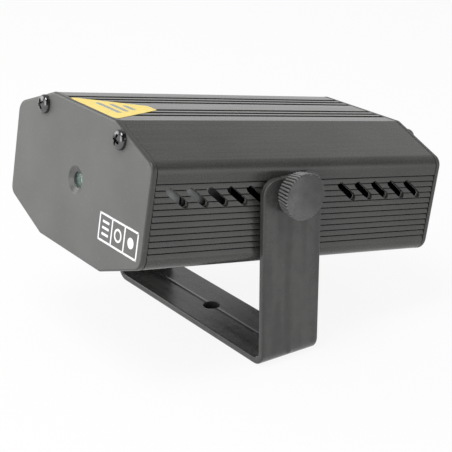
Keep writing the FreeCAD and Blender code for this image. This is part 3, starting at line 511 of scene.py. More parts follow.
# the head's own axes: along its length to the rear, along the tilt axis, and up
rearward = np.array(next(joint for joint in frame["joints"] if joint["name"] == "grating_spin")["axis"])
sideways = np.array([0.0, 1.0, 0.0])
head_axes = np.stack([rearward, sideways, np.cross(rearward, sideways)])


def in_head(points):
    """Points of the level head, about the tilt axis, carried to where the tilted head has them."""
    return np.asarray(points) @ head_axes + np.array(pivot)


def level_box(node):
    """Lowest and highest corner of a node in the level head, about the tilt axis."""
    mesh = frame["nodes"][node].data
    places = np.empty(len(mesh.vertices) * 3, np.float32)
    mesh.vertices.foreach_get("co", places)
    level = (places.reshape(-1, 3) - np.array(pivot)) @ head_axes.T
    return level.min(0), level.max(0)


def painted(name, colour, sheen, streak, swing, places):
    """Baked satin paint: orange peel, rubbed streaks along the head, a slow drift in tone and pale
    specks. Each of places is a colour, its share over the surface, and the sheen there."""
    dark, pale = scaled(colour, 1 - swing), scaled(colour, 1 + swing)
    head_turn = (0, math.atan2(-rearward[2], rearward[0]), 0)

    def surface(at):
        peel = noise(at, 0.5 * MM)
        drift = noise(at, 25 * MM, 2.0)
        rubbed = drawn_noise(at, streak, 3.0, head_turn)
        specks = noise(at, 0.8 * MM, 0.0, 0.32) > 0.96
        tone = (0.4 * drift + 0.35 * rubbed + 0.25 * peel).blend(dark, pale)
        rough = sheen - 0.06 + 0.06 * peel + 0.06 * rubbed
        for other_colour, share_at, other_sheen in places:
            share = share_at(at)
            tone = share.blend(tone, other_colour)
            rough = rough - share * (sheen - other_sheen)
        return {
            "Base Color": (specks * 0.15).blend(tone, scaled(colour, 2.2)),
            "Roughness": rough,
            "Normal": relief(peel + 0.6 * rubbed, 0.005 * MM),
        }

    return finish(name, surface)


housing_colour = (0.052, 0.052, 0.049)
housing_sheen = 0.27
housing_low, housing_high = level_box("housing_shell")
section_middle = (housing_low[2] + housing_high[2]) / 2
side_y, top_z = housing_high[1], housing_high[2]
shoulder_z = section_middle + shoulder_height

groove_steps = groove_pitch * np.arange(groove_count)[:, None]
groove_y = groove_start + groove_steps + groove_width * np.array([0, 0, 1, 1])
groove_z = top_z - groove_depth * np.array([0, 1, 1, 0]) + 0 * groove_y
# each slat: its lip, a dark slot under it, and a face that slopes out to the next lip
slat_start = slat_depth * (1 - slot_height / slat_pitch)
slat_z = slat_top - slat_pitch * np.arange(slat_count)[:, None] - slot_height * np.array([0, 0, 1, 1])
slat_y = side_y - np.array([0, slot_depth, slot_depth, slat_start]) + 0 * slat_z
plain = [(crown_width, top_z), (side_y, shoulder_z)]
under = [(side_y, slat_top - slat_pitch * slat_count), (side_y, 2 * section_middle - shoulder_z),
         (crown_width, 2 * section_middle - top_z)]
half_section = np.concatenate([
    np.stack([groove_y, groove_z], -1).reshape(-1, 2), plain,
    np.stack([slat_y, slat_z], -1).reshape(-1, 2), under,
])
half_radii = np.concatenate([
    np.full(groove_y.size, lip_radius), section_radii[:2],
    np.full(slat_z.size, lip_radius), [lip_radius], section_radii[2:],
])
outside = rounded(
    np.concatenate([half_section, half_section[::-1] * (-1, 1)]),
    np.concatenate([half_radii, half_radii[::-1]]),
    8,
)

# the inside is the plain eight-sided section, met along rays from the middle that only turn one way
octagon = np.array([
    (crown_width, top_z), (side_y, shoulder_z),
    (side_y, 2 * section_middle - shoulder_z), (crown_width, 2 * section_middle - top_z),
]) - (0, section_middle)
octagon = np.concatenate([octagon, -octagon])
octagon_sides = np.roll(octagon, -1, 0) - octagon
octagon_normals = np.stack([-octagon_sides[:, 1], octagon_sides[:, 0]], 1)
octagon_normals /= np.linalg.norm(octagon_normals, axis=1, keepdims=True)
octagon_normals *= np.sign((octagon_normals * octagon).sum(1, keepdims=True))
octagon_reach = (octagon_normals * octagon).sum(1) - wall
from_middle = outside - (0, section_middle)
ray_angle = np.minimum.accumulate(np.unwrap(np.arctan2(from_middle[:, 1], from_middle[:, 0])))
rays = np.stack([np.cos(ray_angle), np.sin(ray_angle)], 1)
facing = rays @ octagon_normals.T
ray_reach = np.min(np.where(facing > 0, octagon_reach / np.where(facing > 0, facing, 1), np.inf), 1)
inside = rays * ray_reach[:, None] + (0, section_middle)


def turned(points, angle):
    """Points of a plane turned clockwise about its origin."""
    c, s = math.cos(angle), math.sin(angle)
    return points @ np.array([[c, -s], [s, c]])


def along_housing(x, section):
    """Loop of a section at x along the level head."""
    return np.column_stack([np.full(len(section), x), section])


soft_end = (outside - (0, section_middle)) * end_softness + (0, section_middle)
shell_rows = [
    along_housing(housing_low[0], soft_end), along_housing(housing_low[0] + end_reach, outside),
    along_housing(housing_high[0] - end_reach, outside), along_housing(housing_high[0], soft_end),
    along_housing(housing_high[0], inside), along_housing(housing_low[0], inside),
]
housing = skin("housing_tube", in_head(np.stack(shell_rows)), loop_rows=True)

front_face = level_box("front_plate")[0][0]
rear_face = level_box("rear_plate")[1][0]
end_turn = np.linspace(math.pi / 2, 3 * math.pi / 2, 13)
round_end = vent_width / 2 * np.stack([-np.cos(end_turn), np.sin(end_turn)], 1)
slot_ends = [side * (np.array([vent_run / 2, 0]) + round_end) for side in (1, -1)]
slot = turned(np.concatenate(slot_ends), vent_slope)
slot_steps = vent_pitch * np.arange(vent_count)
tool_reach = 1.1 * side_y
vent_tools = []
for x in np.concatenate([front_face + front_vent + slot_steps, rear_face - rear_vent - slot_steps]):
    loops = [np.column_stack([x + k * slot[:, 0], np.full(len(slot), y), k * slot[:, 1] - vent_drop])
             for y, k in ((-tool_reach, 0), (-tool_reach, 1), (tool_reach, 1), (tool_reach, 0))]
    vent_tools.append(skin("vent_tool", in_head(np.stack(loops))))
drill_along = tool_reach * np.array([-1, -1, 1, 1])
pivot_drill = spun(drill_along, insert_hole_radius * np.array([0, 1, 1, 0]), 64)
carve(housing, *vent_tools, skin("pivot_drill", in_head(pivot_drill[..., [1, 0, 2]])))


def inside_tube(at):
    """None on the outside and in its grooves, all within the wall's inner part, which has no paint:
    the share of the plain section met by its width, its height and its sloping sides together."""
    middle = tuple(in_head((0, 0, section_middle)))
    centred = at.node("VectorMath", {"operation": "SUBTRACT"}, {0: at, 1: middle})
    towards_side, towards_top = centred.dot(head_axes[1]), centred.dot(head_axes[2])
    slope_y, slope_z = octagon_normals[0].tolist()
    slope = abs(towards_side) * slope_y + abs(towards_top) * slope_z
    paint_reach = 0.7 * wall
    half_height = top_z - section_middle
    within = (abs(towards_side) < side_y - paint_reach) * (abs(towards_top) < half_height - paint_reach)
    return within * (slope < float(octagon_reach[0]) + wall - paint_reach)


mill_finish = ((0.34, 0.34, 0.33), inside_tube, 0.45)
housing_streak = (60 * MM, 1.8 * MM, 1.8 * MM)
housing_swing = 0.25
housing_paint = painted(
    "housing_paint", housing_colour, housing_sheen, housing_streak, housing_swing, [mill_finish],
)
fix(housing, "head", "housing_paint", housing_paint, "housing_shell")


# End plates
# Two 2 mm aluminium plates with softened edges close the tube. The front one has the countersunk
# beam aperture, and the rear one the holes of the inlet, the button, the microphone and the knob.
plate_edge = 0.95 * MM
back_edge = 0.25 * MM
aperture_radius = 2.9 * MM
countersink_radius = 4.85 * MM
aperture_lip = 0.3 * MM
aperture_land = 0.8 * MM
panel_gap = 0.3 * MM
plate_columns = 720

plate_low, plate_high = level_box("front_plate")
plate_flat = 22.0 * MM
plate_shoulder = 17.5 * MM
plate_corners = np.array([
    (plate_flat, plate_high[2] - section_middle), (plate_high[1], plate_shoulder),
    (plate_high[1], -plate_shoulder), (plate_flat, plate_low[2] - section_middle),
])
plate_corners = np.concatenate([plate_corners, -plate_corners])
plate_outline = rounded(plate_corners, np.concatenate([section_radii, section_radii]), 24)
plate_ring = np.concatenate([plate_outline, plate_outline[:1]])
ring_length = np.concatenate([[0], np.cumsum(np.linalg.norm(np.diff(plate_ring, axis=0), axis=1))])
fine_length = np.linspace(0, ring_length[-1], 12000)
fine_ring = np.stack([np.interp(fine_length, ring_length, plate_ring[:, k]) for k in (0, 1)], 1)
fine_angle = np.unwrap(np.arctan2(fine_ring[:, 1], fine_ring[:, 0]))
full_turn = fine_angle[-1] - fine_angle[0]
column_angle = fine_angle[0] + np.linspace(0, full_turn, plate_columns, endpoint=False)
order = np.argsort(fine_angle)
outline = np.stack([np.interp(column_angle, fine_angle[order], fine_ring[order, k]) for k in (0, 1)], 1)
tangent = np.roll(outline, -1, 0) - np.roll(outline, 1, 0)
outward = np.stack([tangent[:, 1], -tangent[:, 0]], 1) / np.linalg.norm(tangent, axis=1, keepdims=True)
outward *= np.sign((outward * outline).sum(1, keepdims=True))


def plate_loop(x, inset):
    """Loop round the plate at x, moved in from its outline along the outline's own normals."""
    return along_housing(x, outline - inset * outward + (0, section_middle))


def hole_loop(x, radius):
    """Circle at x about the middle of the plate, with a point on each line from there to the rim."""
    circle = radius * np.stack([np.cos(column_angle), np.sin(column_angle)], 1)
    return along_housing(x, circle + (0, section_middle))


def plate_rim(inner, outer):
    """Loops from the back of a plate round its edge to its face, the face edge the softer one."""
    out = np.sign(outer - inner)
    swing = np.linspace(0, math.pi / 2, 7)
    arc = np.stack([1 - np.sin(swing), 1 - np.cos(swing)], 1)
    back = [plate_loop(inner + out * back_edge * sink, back_edge * inset) for sink, inset in arc[::-1]]
    face = [plate_loop(outer - out * plate_edge * sink, plate_edge * inset) for sink, inset in arc]
    return back + face


def behind_face(at, first, last):
    """Share that goes from none to all as a point goes from first to last behind the plates' faces."""
    middle = (front_face + rear_face) / 2 + float(np.array(pivot) @ rearward)
    behind = float(rear_face - front_face) / 2 - abs(at.dot(rearward) - middle)
    return behind.ease(first, last)


def from_beam(at):
    """Distance from the point where the beam leaves the front plate."""
    return at.distance(in_head((front_face, 0, section_middle)))


def on_rim(at):
    """All on the rounded rims of both plates, none on their faces and round the beam."""
    return behind_face(at, 0.01 * MM, 0.1 * MM) * (from_beam(at) > 9 * MM)


def in_countersink(at):
    """All on the cone of the beam aperture, where shade is painted in as a darker colour, none on the
    face.
    """
    return behind_face(at, 0.05 * MM, 0.25 * MM) * (from_beam(at) < 7 * MM)


plate_streak = (20 * MM, 20 * MM, 20 * MM)
# painted light: both plates' faces are painted paler than the housing's paint, standing for the light
# that falls on them; their rims keep the housing's own colour
rim_look = (housing_colour, on_rim, 0.36)
# painted shade: the cone of the beam aperture is painted darker than the plate's face
countersink_painted_shade = ((0.09, 0.09, 0.088), in_countersink, 0.32)
plate_colour_with_painted_light = (0.114, 0.115, 0.11)
plate_sheen = 0.42
plate_swing = 0.2
plate_paint = painted(
    "plate_paint", plate_colour_with_painted_light, plate_sheen, plate_streak, plate_swing, [rim_look, countersink_painted_shade],
)
front_inside = plate_high[0]
lip_swing = np.linspace(0, math.pi / 3, 6)
lip_along = front_face + aperture_lip * (1 - np.cos(lip_swing))
lip_across = countersink_radius + aperture_lip * (1 - np.sin(lip_swing) * 1.1)
lip_loops = [hole_loop(x, radius) for x, radius in zip(lip_along, lip_across)]
cone_loops = [hole_loop(x, aperture_radius) for x in (front_inside - aperture_land, front_inside)]
front_loops = plate_rim(front_inside, front_face) + lip_loops + cone_loops
front_plate = skin("front_panel", in_head(np.stack(front_loops)), loop_rows=True)
fix(front_plate, "head", "plate_paint", plate_paint, "front_plate")

rear_inside = level_box("rear_plate")[0][0]
rear_poles = [hole_loop(x, 0.0) for x in (rear_inside, rear_face)]
rear_loops = rear_poles[:1] + plate_rim(rear_inside, rear_face) + rear_poles[1:]
rear_plate = skin("rear_panel", in_head(np.stack(rear_loops)))


def node_middle(node):
    """Middle of a node's box in the level head."""
    low, high = level_box(node)
    return (low + high) / 2


jack_nose_radius = 3.8 * MM
button_radius = 2.5 * MM
bushing_radius = 3.4 * MM
sound_hole_radius = 1.5 * MM
control_z = node_middle("mode_button")[2]
hole_edge = 0.2 * MM
panel_holes = [
    ("jack_pin", jack_nose_radius + panel_gap), ("mode_button", button_radius + panel_gap),
    ("speed_shaft", bushing_radius + panel_gap), ("microphone", sound_hole_radius),
]
hole_tools = []
for node, radius in panel_holes:
    drill = bore_tool(rear_inside, rear_face, radius, hole_edge)
    hole_tools.append(skin("hole_tool", in_head(drill + (0, node_middle(node)[1], control_z))))
carve(rear_plate, *hole_tools)
fix(rear_plate, "head", "plate_paint", plate_paint, "rear_plate")


# Plate screws
# Four pan-head screws with a cross recess, bright nickel over steel, two through each plate into the
# channels of the tube. Each has stopped at a turn of its own.
screw_head_radius = 3.5 * MM
screw_head_height = 2.35 * MM
screw_shank_radius = 1.7 * MM
recess_half = 1.9 * MM
recess_slot = 0.5 * MM
recess_depth = 1.25 * MM
recess_shoal = 0.4
flank_round = 0.8
crown_round = 0.62


def cross_recess(u, v):
    """Share of the recess depth at a point of the head: two crossing slots with soft walls, which
    grow shallow towards their ends."""
    wall_width = 0.12 * MM
    slots = []
    for a, b in ((u, v), (v, u)):
        across_slot = np.clip((recess_slot - np.abs(a)) / wall_width + 0.5, 0, 1)
        along_slot = np.clip((recess_half - np.abs(b)) / (4 * wall_width) + 0.5, 0, 1)
        slots.append(across_slot * along_slot)
    return np.maximum(*slots) * (1 - recess_shoal * np.hypot(u, v) / recess_half)


def pan_head_screw(turn, length):
    """Grid of a screw along the first axis: the head is a superellipse less its recess, then come
    the underside and the shank."""
    swing = np.linspace(0, math.pi / 2, 60)
    reach = screw_head_radius * np.sin(swing) ** flank_round
    crown = screw_head_height * np.cos(swing) ** crown_round
    head = spun(crown, reach, 144)
    driven = turned(head[..., 1:], turn)
    head[..., 0] -= recess_depth * cross_recess(driven[..., 0], driven[..., 1])
    below = spun([0.0, -length, -length], [screw_shank_radius, screw_shank_radius, 0.0], 144)
    return np.concatenate([head, below])


def plated(name, colour, rough, haze=1.5 * MM):
    """Plated or polished metal with a fine haze and small dull spots."""

    def surface(at):
        cloud = noise(at, haze, 3.0)
        fine = noise(at, 0.12 * MM, 1.0)
        return {
            "Base Color": cloud.blend(scaled(colour, 0.8), colour),
            "Roughness": rough * (0.6 + 0.8 * cloud),
            "Normal": relief(fine, 0.004 * MM),
        }

    return finish(name, surface, Metallic=1.0)


nickel = plated("bright_nickel", (0.15, 0.15, 0.15), 0.1)
screw_turns = {
    "front_screw_near": 0.35, "front_screw_far": 1.1, "rear_screw_near": 0.8, "rear_screw_far": 0.1,
}
for node, turn in screw_turns.items():
    low, high = level_box(node)
    out = -1 if node.startswith("front") else 1
    seat = front_face if out < 0 else rear_face
    length = abs((high[0] if out < 0 else low[0]) - seat)
    grid = pan_head_screw(turn, length) * (out, 1, 1) + (seat, *((low + high) / 2)[1:])
    fix(skin(f"{node}_cap", in_head(grid)), "head", "bright_steel", nickel, node)


# Thumb screws
# Ridged plastic knobs moulded on steel studs. Each stud carries a washer, passes the leg's hole and
# runs in a brass insert in the housing side, so that the leg is clamped on the insert's flange.
ridge_count = 40
ridge_depth = 0.65 * MM
knob_rim = 0.75 * MM
knob_dish = 0.12 * MM
knob_back = 7.6 * MM
knob_front = 8.5 * MM
knob_undercut = 0.3 * MM


def ridged_knob(length):
    """Grid of a knob along the first axis: a cone whose radius dips between ridges as a rectified
    cosine, closed by a round rim and a slightly dished face."""
    swing = np.linspace(0, math.pi / 2, 9)
    rise = np.linspace(0.02, 1, 14) * (length - knob_rim)
    flank = knob_back + (knob_front - knob_back) * rise / (length - knob_rim)
    face = np.linspace(1, 0, 12)[1:]
    rim_along = length - knob_rim * (1 - np.sin(swing[1:]))
    along = np.concatenate([[0, 0], rise, rim_along, length - knob_dish * (1 - face**2)])
    rim_radius = knob_front - knob_rim * (1 - np.cos(swing[1:]))
    face_radius = (knob_front - knob_rim) * face
    radius = np.concatenate([[0, knob_back - knob_undercut], flank, rim_radius, face_radius])
    fade = np.concatenate([[0, 1], np.ones(len(rise)), np.cos(swing[1:]) ** 0.6, np.zeros(len(face))])
    columns = ridge_count * 14
    turn = np.linspace(0, 2 * math.pi, columns, endpoint=False)
    dip = 1 - np.abs(np.cos(ridge_count * turn / 2)) ** 0.8
    return spun(along, radius[:, None] - ridge_depth * fade[:, None] * dip, columns)


near_low, near_high = level_box("near_knob")
knob_seat, knob_face = -float(near_high[1]), -float(near_low[1])


def ridge_highlight_and_shade(at, tone):
    """Knob colour with painted light: on the flank, a painted highlight on the crests of the ridges and
    painted shade in the valleys, by how far a point lies below the cone over the crests. The face keeps
    its own colour."""
    out = abs(at.dot(sideways))
    flat = at.node("VectorMath", {"operation": "MULTIPLY"}, {0: at, 1: (1, 0, 1)})
    radius = flat.distance((pivot.x, 0, pivot.z))
    widening = (knob_front - knob_back) / (knob_face - knob_rim - knob_seat)
    below = knob_back + (out - knob_seat) * widening - radius
    crest = below.ease(0.8 * ridge_depth, 0.0)
    flank = out.ease(knob_face - 0.6 * knob_rim, knob_face - 1.2 * knob_rim)
    return flank.blend(tone, crest.blend((0.025, 0.025, 0.025), (0.16, 0.16, 0.158)))


# the knobs' ridges get a painted highlight on their crests and painted shade in their valleys
knob_plastic = moulded("knob_plastic", (0.09, 0.09, 0.09), 0.24, 0.3 * MM, 0.8, painted_light=ridge_highlight_and_shade)
for name, side in (("near", -1), ("far", 1)):
    grid = ridged_knob(knob_face - knob_seat) + (knob_seat, 0, 0)
    knob = skin(f"{name}_thumb_knob", in_head(grid[..., [1, 0, 2]] * (1, side, 1)))
    fix(knob, f"{name}_knob", "knob_plastic", knob_plastic, f"{name}_knob")


def dress(material, *nodes):
    """Give CAD nodes their finish."""
    for node in nodes:
        mesh = frame["nodes"][node].data
        mesh.materials.clear()
        mesh.materials.append(material)


def machined(name, colour, rough, grain):
    """Cut metal: fine tool lines, drawn out along the axis whose grain is long."""

    def surface(at):
        lines = drawn_noise(at, grain, 3.0)
        cloud = noise(at, 6 * MM)
        return {
            "Base Color": (0.6 * lines + 0.4 * cloud).blend(scaled(colour, 0.78), colour),
            "Roughness": rough - 0.08 + 0.2 * lines,
            "Normal": relief(lines, 0.01 * MM),
        }

    return finish(name, surface, Metallic=1.0)


zinc = machined("zinc_plate", (0.62, 0.62, 0.6), 0.32, (2 * MM, 0.25 * MM, 2 * MM))
brass = machined("turned_brass", (0.74, 0.56, 0.26), 0.28, (0.25 * MM, 2 * MM, 2 * MM))
dress(zinc, "near_stud", "far_stud", "near_washer", "far_washer")
dress(brass, "near_insert", "far_insert")


# Lens
# A small green-tinted glass lens behind the aperture, pressed against the plate by an aluminium ring
# that is glued to the inside of the plate.
lens_bulge = 0.4 * MM
bulge_share = 0.5


def coated_glass(name, colour, clear):
    """Glass with a thin coating whose tint drifts, and a trace of haze."""

    def surface(at):
        haze = noise(at, 2.5 * MM, 2.0)
        return {"Base Color": haze.blend(scaled(colour, 0.7), colour), "Roughness": 0.02 + 0.06 * haze}

    return finish(name, surface, IOR=1.52, Transmission_Weight=clear)


lens_low, lens_high = level_box("aperture_lens")
lens_radius = lens_high[1]
lens_share = np.linspace(0, 1, 20)
lens_front = lens_low[0] - lens_bulge * np.clip(1 - (lens_share / bulge_share) ** 2, 0, None)
lens_along = np.concatenate([lens_front, np.full(20, lens_high[0])])
lens_across = np.concatenate([lens_share, lens_share[::-1]]) * lens_radius
lens = skin("beam_lens", in_head(spun(lens_along, lens_across) + (0, 0, section_middle)), crease=60)
fix(lens, "head", "optic_glass", coated_glass("lens_glass", (0.6, 0.86, 0.74), 0.85), "aperture_lens")
bare_aluminium = machined("bare_aluminium", (0.66, 0.67, 0.68), 0.5, (4 * MM, 0.4 * MM, 4 * MM))
dress(bare_aluminium, "lens_retainer")


# Optics bench
# A pale sheet-aluminium bench slides in rails of the housing. Its folded tabs stand behind the front
# vents, and two black anodised laser modules lie in clamp blocks on it.
bench_sheet = machined("bench_sheet", (0.28, 0.29, 0.29), 0.5, (4 * MM, 0.4 * MM, 4 * MM))
dress(bench_sheet, "optics_bench")
dress(bare_aluminium, "fold_mirror_block", "combiner_post")
anodised = moulded("black_anodised", (0.03, 0.03, 0.032), 0.34, 0.2 * MM)
dress(anodised, "green_laser", "red_laser", "green_laser_mount", "red_laser_mount")


# Fold mirror and combiner
# A front-silvered mirror on a milled block turns the red beam, and a dichroic glass on a post lays it
# on the green one.
dress(plated("silvered_glass", (0.9, 0.91, 0.92), 0.04), "fold_mirror")
dress(coated_glass("dichroic_glass", (0.95, 0.75, 0.8), 0.9), "combiner_glass")


# Turning grating
# A clear disc embossed with fine crossed lines, held in a black rim and hub on the shaft of a small
# gear motor, turns slowly across the beam.
def embossed(at):
    """Crossed fine lines with a slow shift of tint, as on a film of gratings."""
    lines = at.node("TexWave", {"bands_direction": "Y"}, {"Vector": at, "Scale": 900.0})
    cross = at.node("TexWave", {"bands_direction": "Z"}, {"Vector": at, "Scale": 900.0})
    drift = noise(at, 8 * MM)
    stops = [(0.0, (0.6, 0.9, 0.95, 1.0)), (0.5, (0.9, 0.95, 0.7, 1.0)), (1.0, (0.9, 0.7, 0.95, 1.0))]
    shift = at.node("ValToRGB", {"stops": stops}, {"Fac": drift})
    return {
        "Base Color": shift,
        "Roughness": 0.05 + 0.1 * lines,
        "Normal": relief(lines + cross, 0.01 * MM),
    }


black_plastic = moulded("black_plastic", (0.03, 0.03, 0.031), 0.4, 0.25 * MM)
dress(finish("grating_film", embossed, IOR=1.49, Transmission_Weight=0.8), "grating_disc")
dress(black_plastic, "grating_rim", "grating_hub")
motor_steel = machined("motor_steel", (0.55, 0.55, 0.54), 0.34, (0.3 * MM, 3 * MM, 3 * MM))
dress(motor_steel, "grating_motor", "motor_shaft")
dress(bare_aluminium, "motor_mount")


# Control board
# A green glass-fibre board on four brass standoffs carries the driver chip, a capacitor and the
# sockets of the leads.
def solder_mask(at):
    """Green mask over raised copper tracks: the joints of a brick pattern, over a fine weave."""
    tracks = at.node("TexBrick", {"offset": 0.5}, {
        "Vector": at, "Scale": 260.0, "Mortar Size": 0.06,
        "Color1": (0, 0, 0, 1), "Color2": (0, 0, 0, 1), "Mortar": (1, 1, 1, 1),
    })
    weave = noise(at, 0.5 * MM)
    return {
        "Base Color": (0.7 * tracks + 0.2 * weave).blend((0.012, 0.1, 0.04), (0.05, 0.3, 0.11)),
        "Roughness": 0.3 + 0.15 * weave,
        "Normal": relief(tracks, 0.04 * MM),
    }


dress(finish("solder_mask", solder_mask), "control_board")
dress(brass, *(f"board_standoff_{n}" for n in (1, 2, 3, 4)))
dress(zinc, *(f"board_screw_{n}" for n in (1, 2, 3, 4)))
dress(black_plastic, "driver_chip", "board_capacitor")
socket_plastic = moulded("socket_plastic", (0.78, 0.75, 0.66), 0.4, 0.3 * MM, 0.1)
dress(socket_plastic, "green_socket", "red_socket", "motor_socket")


# Leads
# Each pair of insulated wires runs from its laser or motor down into its socket on the board.
def insulation(at):
    """Smooth extruded insulation with a little bloom."""
    bloom = noise(at, 3 * MM)
    return {
        "Base Color": bloom.blend((0.022, 0.022, 0.023), (0.04, 0.04, 0.042)),
        "Roughness": 0.35 + 0.15 * bloom,
    }


dress(finish("lead_insulation", insulation), "green_leads", "red_leads", "motor_leads")


# Rear controls
# A low-voltage inlet, a sound pickup behind a small hole, a mode button and a speed knob sit in a row
# on the board and reach through the rear plate.
speed_knob_flutes = 18
flute_depth = 0.35 * MM
pointer_half = 0.5 * MM
pointer_depth = 0.4 * MM
button_crown = 0.5 * MM
button_stem = 1.5 * MM

knob_low, knob_high = level_box("speed_knob")
knob_radius = (knob_high[1] - knob_low[1]) / 2
knob_length = knob_high[0] - knob_low[0]
crown = 0.8 * MM
crown_swing = np.linspace(0, math.pi / 2, 8)
flank = np.linspace(0, knob_length - crown, 12)
top = np.linspace(1, 0, 24)[1:]
crown_along = knob_length - crown * (1 - np.sin(crown_swing[1:]))
crown_across = knob_radius - crown * (1 - np.cos(crown_swing[1:]))
speed_along = np.concatenate([[0], flank, crown_along, np.full(len(top), knob_length)])
speed_across = np.concatenate([
    [0], np.full(len(flank), knob_radius), crown_across, (knob_radius - crown) * top,
])
flute_turn = np.linspace(0, 2 * math.pi, speed_knob_flutes * 12, endpoint=False)
flute = np.clip(np.cos(speed_knob_flutes * flute_turn), 0, None) ** 2
flute_start = np.clip(flank / (2 * MM), 0, 1)
flute_fade = np.concatenate([[0], flute_start, np.cos(crown_swing[1:]), np.zeros(len(top))])
fluted = speed_across[:, None] - flute_depth * flute_fade[:, None] * flute
speed_grid = spun(speed_along, fluted, len(flute_turn))
on_top = (speed_along > knob_length - crown)[:, None]
pointer = (np.abs(speed_grid[..., 1]) < pointer_half) & (speed_grid[..., 2] > 0) & on_top
speed_grid[..., 0] -= pointer_depth * pointer
speed_place = np.array([knob_low[0], *((knob_low + knob_high) / 2)[1:]])
speed_piece = skin("speed_knob_cap", in_head(speed_grid + speed_place))
fix(speed_piece, "speed_knob", "black_plastic", black_plastic, "speed_knob")

button_low, button_high = level_box("mode_button")
cap_swing = np.linspace(0, math.pi / 2, 10)
button_along = np.concatenate([
    [button_low[0]], np.linspace(button_low[0], rear_inside, 4),
    button_high[0] - button_crown * (1 - np.sin(cap_swing)), np.full(6, button_high[0]),
])
button_across = np.concatenate([
    [0], np.full(4, button_stem), button_radius - button_crown * (1 - np.cos(cap_swing)),
    (button_radius - button_crown) * np.linspace(1, 0, 7)[1:],
])
button_place = (0, *node_middle("mode_button")[1:])
button = skin("mode_button_cap", in_head(spun(button_along, button_across, 64) + button_place))
button_plastic = moulded("button_plastic", (0.42, 0.035, 0.03), 0.36, 0.3 * MM)
fix(button, "mode_button", "button_plastic", button_plastic, "mode_button")

dress(black_plastic, "power_jack", "mode_switch", "speed_control")
dress(brass, "jack_pin")
dress(zinc, "speed_shaft", "microphone")
dress(moulded("grommet_rubber", (0.02, 0.02, 0.02), 0.6, 0.3 * MM), "microphone_grommet")


# Printed marks
# A plain yellow paper patch with grey bars lies on the front of the top, a thin white frame of three
# cells with plain shapes is printed low on the front plate, and a scale of ticks round the speed knob.
patch_front = 1.1 * MM
patch_length = 24.9 * MM
patch_middle = -3.5 * MM
patch_front_half = 16.9 * MM
patch_rear_half = 3.2 * MM
patch_thickness = 0.1 * MM
patch_corner = 1.6 * MM
bar_start = 7.0 * MM
bar_pitch = 4.2 * MM
bar_width = 2.0 * MM
bar_half = 8.0 * MM
bar_taper = 2.2 * MM
print_lift = 0.03 * MM


def paper(name, colour):
    """Printed paper: fibres in a fine noise and a little uneven ink."""

    def surface(at):
        fibre = noise(at, 0.3 * MM, 3.0)
        ink = noise(at, 6 * MM)
        return {
            "Base Color": (0.5 * fibre + 0.5 * ink).blend(scaled(colour, 0.93), colour),
            "Roughness": 0.5 + 0.2 * fibre,
        }

    return finish(name, surface)


def slab(name, loop, low, high, plane):
    """Thin closed sheet over a loop that bulges round its own middle, from low to high along the
    axis left out of plane."""
    middle = np.broadcast_to(loop.mean(0), loop.shape)
    rows = [(middle, low), (loop, low), (loop, high), (middle, high)]
    grid = np.stack([np.column_stack([edge, np.full(len(loop), level)]) for edge, level in rows])
    return skin(name, in_head(grid[..., plane]))


patch_x = front_face + patch_front + patch_length * np.array([0, 1, 1, 0])
patch_halves = np.array([-patch_front_half, -patch_rear_half, patch_rear_half, patch_front_half])
patch_y = patch_middle + patch_halves
patch_loop = rounded(np.stack([patch_x, patch_y], 1), patch_corner)
patch = slab("yellow_patch", patch_loop, top_z, top_z + patch_thickness, [0, 1, 2])
fix(patch, "head", "plate_paint", paper("yellow_paper", (1.0, 0.78, 0.22)))

grey_ink = paper("grey_ink", (0.36, 0.4, 0.4))
patch_top = top_z + patch_thickness
for n in range(3):
    bar_x = front_face + bar_start + bar_pitch * n + bar_width * np.array([0, 1, 1, 0])
    bar_y = patch_middle + (bar_half - bar_taper * n) * np.array([-1, -1, 1, 1])
    bar_loop = rounded(np.stack([bar_x, bar_y], 1), 0.8 * MM)
    bar = slab(f"patch_bar_{n + 1}", bar_loop, patch_top, patch_top + print_lift, [0, 1, 2])
    fix(bar, "head", "plate_paint", grey_ink)


def front_print(name, loop):
    """White mark on the front plate over a loop in its plane."""
    mark = slab(name, loop, front_face - print_lift, front_face, [2, 0, 1])
    fix(mark, "head", "plate_paint", white_ink)


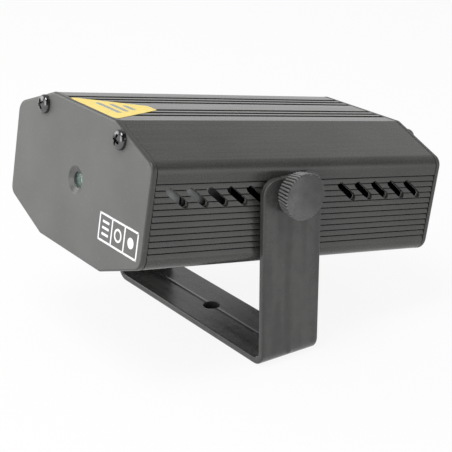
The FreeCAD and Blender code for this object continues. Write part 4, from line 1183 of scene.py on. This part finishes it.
frame_y = np.array([-44.4, -19.1]) * MM
frame_z = np.array([-23.6, -13.6]) * MM
line_width = 0.75 * MM
white_ink = paper("white_ink", (0.9, 0.9, 0.9))
cell_width = (frame_y[1] - frame_y[0] - line_width) / 3
strips = [(frame_y[0], frame_y[1], z, z + line_width) for z in (frame_z[0], frame_z[1] - line_width)]
cell_edges = frame_y[0] + cell_width * np.arange(4)
strips += [(edge, edge + line_width, *frame_z) for edge in cell_edges]
for n, (left, right, low, high) in enumerate(strips, start=1):
    strip = rounded([(left, low), (right, low), (right, high), (left, high)], 0.15 * MM)
    front_print(f"print_line_{n}", strip)


def ring(radius, width):
    """Outer and inner circle of a flat ring, as loops in the plane."""
    turn = np.linspace(0, 2 * math.pi, 48, endpoint=False)
    circle = np.stack([np.cos(turn), np.sin(turn)], 1)
    return radius * circle, (radius - width) * circle


cell_y = frame_y[0] + line_width / 2 + cell_width * (np.arange(3) + 0.5)
cell_middles = np.stack([cell_y, np.full(3, frame_z.mean())], 1)
print_front = front_face - print_lift
outer, inner = ring(2.4 * MM, 0.8 * MM)
ring_rows = [(inner, front_face), (outer, front_face), (outer, print_front), (inner, print_front)]
ring_grid = np.stack([along_housing(x, loop + cell_middles[1]) for loop, x in ring_rows])
fix(skin("print_ring", in_head(ring_grid), loop_rows=True), "head", "plate_paint", white_ink)
disc, _ = ring(1.9 * MM, 0.0)
front_print("print_disc", disc + cell_middles[0])
bar_corners = np.array([(-2.2, -0.45), (2.2, -0.45), (2.2, 0.45), (-2.2, 0.45)]) * MM
for n, rise in enumerate((-2.2 * MM, 0.0, 2.2 * MM), start=1):
    front_print(f"print_bar_{n}", rounded(bar_corners + cell_middles[2] + (0, rise), 0.3 * MM))

tick_count = 11
tick_sweep = math.radians(150)
tick_loop = np.array([(-0.2, 0.9), (0.2, 0.9), (0.2, 2.1), (-0.2, 2.1)]) * MM + (0, knob_radius)
for n, swing in enumerate(np.linspace(-tick_sweep, tick_sweep, tick_count), start=1):
    tick_outline = rounded(turned(tick_loop, swing) + speed_place[1:], 0.12 * MM)
    tick = slab(f"speed_tick_{n}", tick_outline, rear_face, rear_face + print_lift, [2, 0, 1])
    fix(tick, "head", "plate_paint", white_ink)
